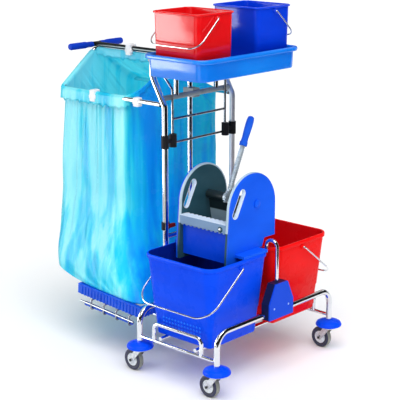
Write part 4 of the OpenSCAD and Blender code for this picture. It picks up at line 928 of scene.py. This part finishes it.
# Bag clips: white sprung plastic clips. One grips the cuff on the front arm, one the cuff on the
# handle's stem, and a spare one waits on the bare end of the arm.
white_plastic = moulded("white_clip_plastic", (0.8, 0.8, 0.81), (0.9, 0.9, 0.9))
ARM_X = 0.171
ARM_Z = 0.899
STEM_Z = 1.042
SPARE_CLIP_Y = 0.055
CLIP_HALF_Y, LUG_HALF_Y = 0.012, 0.0155
LUG_IN, LUG_LEFT = 0.004, 0.003
clip_low, clip_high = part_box("bag_clips")
CLIP_Y = (clip_low.y + clip_high.y) / 2
clip_solids = []
clip_sizes = (
    (-ARM_X - 0.002, CLIP_Y, ARM_Z - 0.004, 0.0165, 0.02),
    (0.0, CLIP_Y - 0.006, STEM_Z - 0.004, 0.0175, 0.02),
    (-ARM_X, SPARE_CLIP_Y, ARM_Z - 0.003, 0.0125, 0.015))
for x, y, z, half_x, half_z in clip_sizes:
    clip_solids.append(moved(block(half_x, CLIP_HALF_Y, half_z, 0.005, edge=0.002), shift(x, y, z)))
    lug = block(half_x - LUG_IN, LUG_HALF_Y, half_z * 0.35, 0.003, edge=0.0015)
    clip_solids.append(moved(lug, shift(x - LUG_LEFT, y, z - half_z * 0.2)))
clips = add_piece("cuff_clips", joined_up(*clip_solids), "cart", "white_plastic", white_plastic)
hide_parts("bag_clips")


# Waste bag: a thin blue film liner. Its mouth is drawn over the front arm, the sloping end of the bag
# frame and the handle's stem. From the stem the film drapes over the other arm, and its wide foot
# rests on the platform and hangs a little past the platform's end.
def combined(tree, operation, first, second):
    """A math node on two values."""
    math_node = add_node(tree, "ShaderNodeMath", {0: first, 1: second})
    math_node.operation = operation
    return math_node.outputs["Value"]


FILM_ALPHA = 0.88
NEAR_TO_Y, FAR_FROM_Y = 0.12, 0.19
SHADE_LINE_ACROSS = (0.671, -0.742, 0.0)
film, tree, shader = new_finish("blue_film", (0.04, 0.45, 0.9), 0.25, shine=0.2)
shader.inputs["Alpha"].default_value = FILM_ALPHA
film_place, film_axes = own_place(tree)
film_x, film_y = film_axes["X"], film_axes["Y"]
# The film is painted a deeper blue on the bag's near side, beyond a slanted line across the bag, and this
# deep blue eases a little towards the right: painted shade. On the far wall, away from the front arm, the
# film is painted paler: painted light inside the bag. Random streaks vary the tone everywhere.
nearness = add_node(tree, "ShaderNodeVectorMath", {0: film_place, 1: SHADE_LINE_ACROSS})
nearness.operation = "DOT_PRODUCT"
near_side = ramp_between(tree, film_y, NEAR_TO_Y, FAR_FROM_Y, 1.0, 0.0)
far_side = ramp_between(tree, film_y, NEAR_TO_Y, FAR_FROM_Y)
near_shade = ramp_between(tree, nearness.outputs["Value"], -0.215, -0.16)
near_shade = combined(tree, "MULTIPLY", near_shade, near_side)
near_shade_depth = combined(tree, "MULTIPLY", near_shade, ramp_between(tree, film_x, -0.05, 0.17, 0.58, 0.4))
far_wall_light = combined(tree, "MULTIPLY", ramp_between(tree, film_x, -0.16, -0.1, 0.0, 0.24), far_side)
broad_grain = grain(tree, 15, stretch=(1, 1, 0.1), detail=4)
broad_streaks = ramp_between(tree, broad_grain, 0.4, 0.6, -0.02, 0.4)
fine_streaks = between(tree, grain(tree, 48, stretch=(1, 1, 0.07), detail=2), -0.07, 0.07)
streaks = combined(tree, "ADD", broad_streaks, fine_streaks)
film_streaks_and_painted_shade = combined(tree, "ADD", combined(tree, "SUBTRACT", near_shade_depth, far_wall_light), streaks)
film_colour = shades(
    tree, film_streaks_and_painted_shade, (0.0, (0.3, 0.92, 1.0)), (0.2, (0.1, 0.83, 0.96)), (0.4, (0.015, 0.68, 0.93)),
    (0.6, (0.006, 0.52, 0.98)), (0.8, (0.003, 0.42, 1.0)), (1.0, (0.002, 0.32, 0.98)))
feed(shader, "Base Color", film_colour)
feed(shader, "Roughness", between(tree, grain(tree, 18), 0.16, 0.32))
crease = relief(shader, grain(tree, 9, stretch=(1, 1, 0.12), detail=5), 0.006)
relief(shader, grain(tree, 120, stretch=(1, 1, 0.4)), 0.0005, under=crease)
glow = add_node(tree, "ShaderNodeBsdfTranslucent", {"Color": film_colour})
back_wall = ramp_between(tree, film_x, -0.12, 0.08, 0.28, 0.72)
front_wall = ramp_between(tree, film_y, NEAR_TO_Y, FAR_FROM_Y, 0.1, 1.0)
lit_through = combined(tree, "MULTIPLY", back_wall, front_wall)
both_ways = {"Fac": lit_through, 1: shader.outputs["BSDF"], 2: glow.outputs["BSDF"]}
thin = add_node(tree, "ShaderNodeMixShader", both_ways)
feed(tree.nodes["Material Output"], "Surface", thin.outputs["Shader"])

END_Y = 0.4335
MOUTH_LEFT_Y, MOUTH_STEM_Y = 0.115, 0.085
MOUTH_SAG, MOUTH_LEAN = 0.022, 0.3
RIDGE_Z, UNDER_STEM_Z = 1.0305, 1.0285
TUBE_R, STEM_R, DRAPE_R = 0.0108, 0.003, 0.0105
PEAK_FROM = 0.85
SIDE_COLUMNS = (64, 56, 56, 60)
BODY_ROWS, ARM_ROWS, SLOPE_ROWS, CUFF_ROWS = 48, 10, 14, 4
WRAP_STEPS = 6
RIM_ROUNDING = 4
SPLIT_BELOW = 0.045
CUFF_ARM, CUFF_END, CUFF_STEM, CUFF_FREE = 0.036, 0.034, 0.03, 0.012
CUFF_RAGGED, CUFF_FLARE, CUFF_WAVE = 0.22, 0.004, 0.0045
FOOT_HALF_X = 0.246
FOOT_NEAR_Y, FOOT_FAR_Y = -0.027, 0.288
FLAT_FOOT = 0.05
DECK_Y, DECK_Z, DECK_SLOPE = -0.0315, 0.2055, 0.0699
LEFT_X, RIGHT_X = 0.171, 0.189
NEAR_LEFT_Y, NEAR_RIGHT_Y = 0.115, -0.026
FAR_Y, FAR_BULGE = 0.43, 0.031
SIDE_BULGE = 0.005
NECK = 0.54
HANG_SHARE = 0.05
BODY_SQUARE, CORNER_SQUARE, CORNER_WIDTH = 6.5, 24, 0.35
PLEAT_FOOT, PLEAT_TOP = 0.0012, 0.0062
WRINKLE_FOOT, WRINKLE_TOP = 0.005, 0.0015
WRINKLES_ROUND, WRINKLES_UP = 46, 7
OVER_ARM_X, OVER_ARM_FADE = 0.15, 0.03
DRAPE_PLEAT, DRAPE_SAG = 0.0045, 0.006
FILM_T = 0.0008
fold_dice = random.Random(7)


def smooth_step(value):
    """0 below 0, 1 above 1, smooth between."""
    value = min(max(value, 0.0), 1.0)
    return value * value * (3 - 2 * value)


def mix(a, b, share):
    """The value a share of the way from a to b."""
    return a + (b - a) * share


def averaged(vectors, reach):
    """Each vector averaged with its neighbours round the loop, which rounds its corners."""
    count = len(vectors)
    result = []
    for i in range(count):
        near = [vectors[(i + k) % count] for k in range(-reach, reach + 1)]
        result.append(sum(near, Vector((0, 0, 0))) / len(near))
    return result


columns = [(side, i / count) for side, count in enumerate(SIDE_COLUMNS) for i in range(count)]
rim, outwards, wrap_r, cuff = [], [], [], []
for side, share in columns:
    if side == 0:
        point, out = (-ARM_X, mix(MOUTH_LEFT_Y, END_Y, share), ARM_Z), (-1, 0, 0)
        radius, hem = TUBE_R, CUFF_ARM
    elif side == 1:
        point, out = (mix(-ARM_X, 0, share), END_Y, mix(ARM_Z, RIDGE_Z, share)), (0, 1, 0)
        radius, hem = mix(TUBE_R, STEM_R, smooth_step((share - PEAK_FROM) / (1 - PEAK_FROM))), CUFF_END
    elif side == 2:
        height = mix(RIDGE_Z, UNDER_STEM_Z, smooth_step(share * 6))
        point, out = (0, mix(END_Y, MOUTH_STEM_Y, share), height), (-1, 0, 0)
        radius, hem = STEM_R, CUFF_STEM
    else:
        bow = sin(pi * share)
        sag = MOUTH_SAG * bow
        mouth_y = mix(MOUTH_STEM_Y, MOUTH_LEFT_Y, share) - MOUTH_LEAN * sag
        point, out = (mix(0, -ARM_X, share), mouth_y, mix(UNDER_STEM_Z, ARM_Z, share) - sag), (0, -1, 0)
        radius, hem = mix(STEM_R, TUBE_R, share) * (1 - 0.7 * bow), mix(CUFF_STEM, CUFF_FREE, bow)
    rim.append(Vector(point))
    outwards.append(Vector(out))
    wrap_r.append(radius)
    cuff.append(hem)
rim = averaged(rim, RIM_ROUNDING)
outwards = [v.normalized() for v in averaged(outwards, RIM_ROUNDING)]

fold_waves = []
for cycles in (9, 14, 19, 23, 31, 38, 47):
    phase = fold_dice.uniform(0, 6.28)
    drift = fold_dice.uniform(-0.9, 0.9)
    weight = fold_dice.uniform(0.6, 1.0)
    fold_waves.append((cycles, phase, drift, weight))


def fold(loop_share, u):
    """Pleat depth, from -1 to 1, at a share round the bag and a height share."""
    total = 0.0
    for cycles, phase, drift, weight in fold_waves:
        wave = sin(2 * pi * cycles * loop_share + phase + drift * 3 * u)
        total += weight * (1 - 2 * abs(wave)) * (14 / cycles) ** 0.6
    return total / 3.2


def foot_height(y):
    """Height of the tilted platform's top."""
    return DECK_Z + (y - DECK_Y) * DECK_SLOPE


def body_point(side, share, loop_share, u, top_z):
    """A point of the hanging body: u = 0 at the foot and 1 at top_z."""
    angle = radians(225 - 90 * side - 90 * share)
    c, s = cos(angle), sin(angle)
    off_corner = min(abs(angle - radians(corner)) for corner in (135, 225)) / CORNER_WIDTH
    square = mix(BODY_SQUARE, CORNER_SQUARE, exp(-off_corner ** 2) * smooth_step((u - 0.2) / 0.6))
    reach = (abs(c) ** square + abs(s) ** square) ** (-1 / square)
    spread = 0.5 + 0.5 * cos(pi * min(u / NECK, 1))
    creep = max(1 - u / NECK, 0) ** 2
    fullness = sin(pi * u ** 0.6)
    hang = min(u / HANG_SHARE, 1) ** 0.5
    across = (c * reach + 1) / 2
    low_x = mix(LEFT_X, FOOT_HALF_X, spread) + SIDE_BULGE * fullness
    high_x = mix(RIGHT_X, FOOT_HALF_X, spread) + SIDE_BULGE * fullness
    near = mix(mix(NEAR_LEFT_Y, FOOT_NEAR_Y, creep), mix(NEAR_RIGHT_Y, FOOT_NEAR_Y, creep), across)
    far = mix(FOOT_FAR_Y, FAR_Y + FAR_BULGE * fullness, hang)
    pleat = fold(loop_share, u) * mix(PLEAT_FOOT, PLEAT_TOP, u)
    crumple = noise.noise(Vector((loop_share * WRINKLES_ROUND, u * WRINKLES_UP, 2.5)))
    wrinkle = crumple * mix(WRINKLE_FOOT, WRINKLE_TOP, u)
    x = mix(-low_x, high_x, across)
    y = (near + far) / 2 + s * reach * (far - near) / 2
    out = Vector((c / (low_x + high_x), s / (far - near), 0)).normalized()
    low = foot_height(min(y, FOOT_FAR_Y))
    return Vector((x, y, mix(low, top_z, u))) + out * (pleat + wrinkle) * smooth_step(u / FLAT_FOOT)


def path_length(points):
    """The length of a path through points."""
    return sum((b - a).length for a, b in zip(points, points[1:]))


def along(points, share):
    """The point at a share of a path's length."""
    left = share * path_length(points)
    for a, b in zip(points, points[1:]):
        span = (b - a).length
        if left <= span:
            return a.lerp(b, left / span)
        left -= span
    return points[-1]


def bag_column(number):
    """One column of the bag from its foot up over the tube and down its cuff."""
    side, share = columns[number]
    loop_share = number / len(columns)
    out = outwards[number]
    centre = rim[number]
    ahead = rim[(number + 1) % len(rim)] - rim[number - 1]
    up = out.cross(ahead).normalized()
    if up.z < 0:
        up = -up
    radius = wrap_r[number]
    inner = centre - radius * out
    top_z = min(ARM_Z, centre.z) - SPLIT_BELOW
    points = []
    for row in range(BODY_ROWS):
        points.append(body_point(side, share, loop_share, (row / BODY_ROWS) ** 1.3, top_z))
    start = body_point(side, share, loop_share, 1.0, top_z)
    drape = [start]
    for turn in range(0, 60, 10):
        angle = radians(turn)
        drape.append(Vector((ARM_X + DRAPE_R * cos(angle), start.y, ARM_Z + DRAPE_R * sin(angle))))
    past_arm = path_length(drape)
    drape.append(inner)
    past_arm /= path_length(drape)
    parts = [past_arm * row / ARM_ROWS for row in range(ARM_ROWS)]
    parts += [mix(past_arm, 1, row / SLOPE_ROWS) for row in range(SLOPE_ROWS)]
    over_arm = smooth_step((start.x - OVER_ARM_X) / OVER_ARM_FADE)
    for part in parts:
        straight = start.lerp(inner, part)
        loose = smooth_step((part - past_arm) / 0.3) * sin(pi * part)
        pleat = fold(loop_share, 1.0) * DRAPE_PLEAT * loose
        hung = Vector((0.6 * pleat, 0, pleat - DRAPE_SAG * loose))
        points.append(straight.lerp(along(drape, part), over_arm) + hung * over_arm)
    for step in range(WRAP_STEPS + 1):
        angle = pi * step / WRAP_STEPS
        points.append(centre - radius * cos(angle) * out + radius * sin(angle) * up)
    hem = cuff[number] * (1 + CUFF_RAGGED * fold(loop_share * 1.7, 0.3))
    flare = CUFF_FLARE + CUFF_WAVE * fold(loop_share * 1.3, 0.9)
    for row in range(1, CUFF_ROWS + 1):
        part = row / CUFF_ROWS
        points.append(centre + (radius + flare * part) * out - Vector((0, 0, hem * part)))
    return points


bag_columns = [bag_column(number) for number in range(len(columns))]
bag_rings = [list(ring) for ring in zip(*bag_columns)]
foot_middle = sum(bag_rings[0], Vector((0, 0, 0))) / len(columns)
sole_rings = []
for part in (0.12, 0.4, 0.7):
    inner_ring = [foot_middle.lerp(point, part) for point in bag_rings[0]]
    sole_rings.append([(p.x, p.y, foot_height(p.y)) for p in inner_ring])
bag_skin = loft([*sole_rings, *bag_rings], close_first=True)
bag = add_piece("film_bag", bag_skin, "cart", "film", film, smooth=180)
film_wall = bag.modifiers.new("film_thickness", "SOLIDIFY")
film_wall.thickness = FILM_T
film_wall.offset = 0
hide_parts("waste_bag")
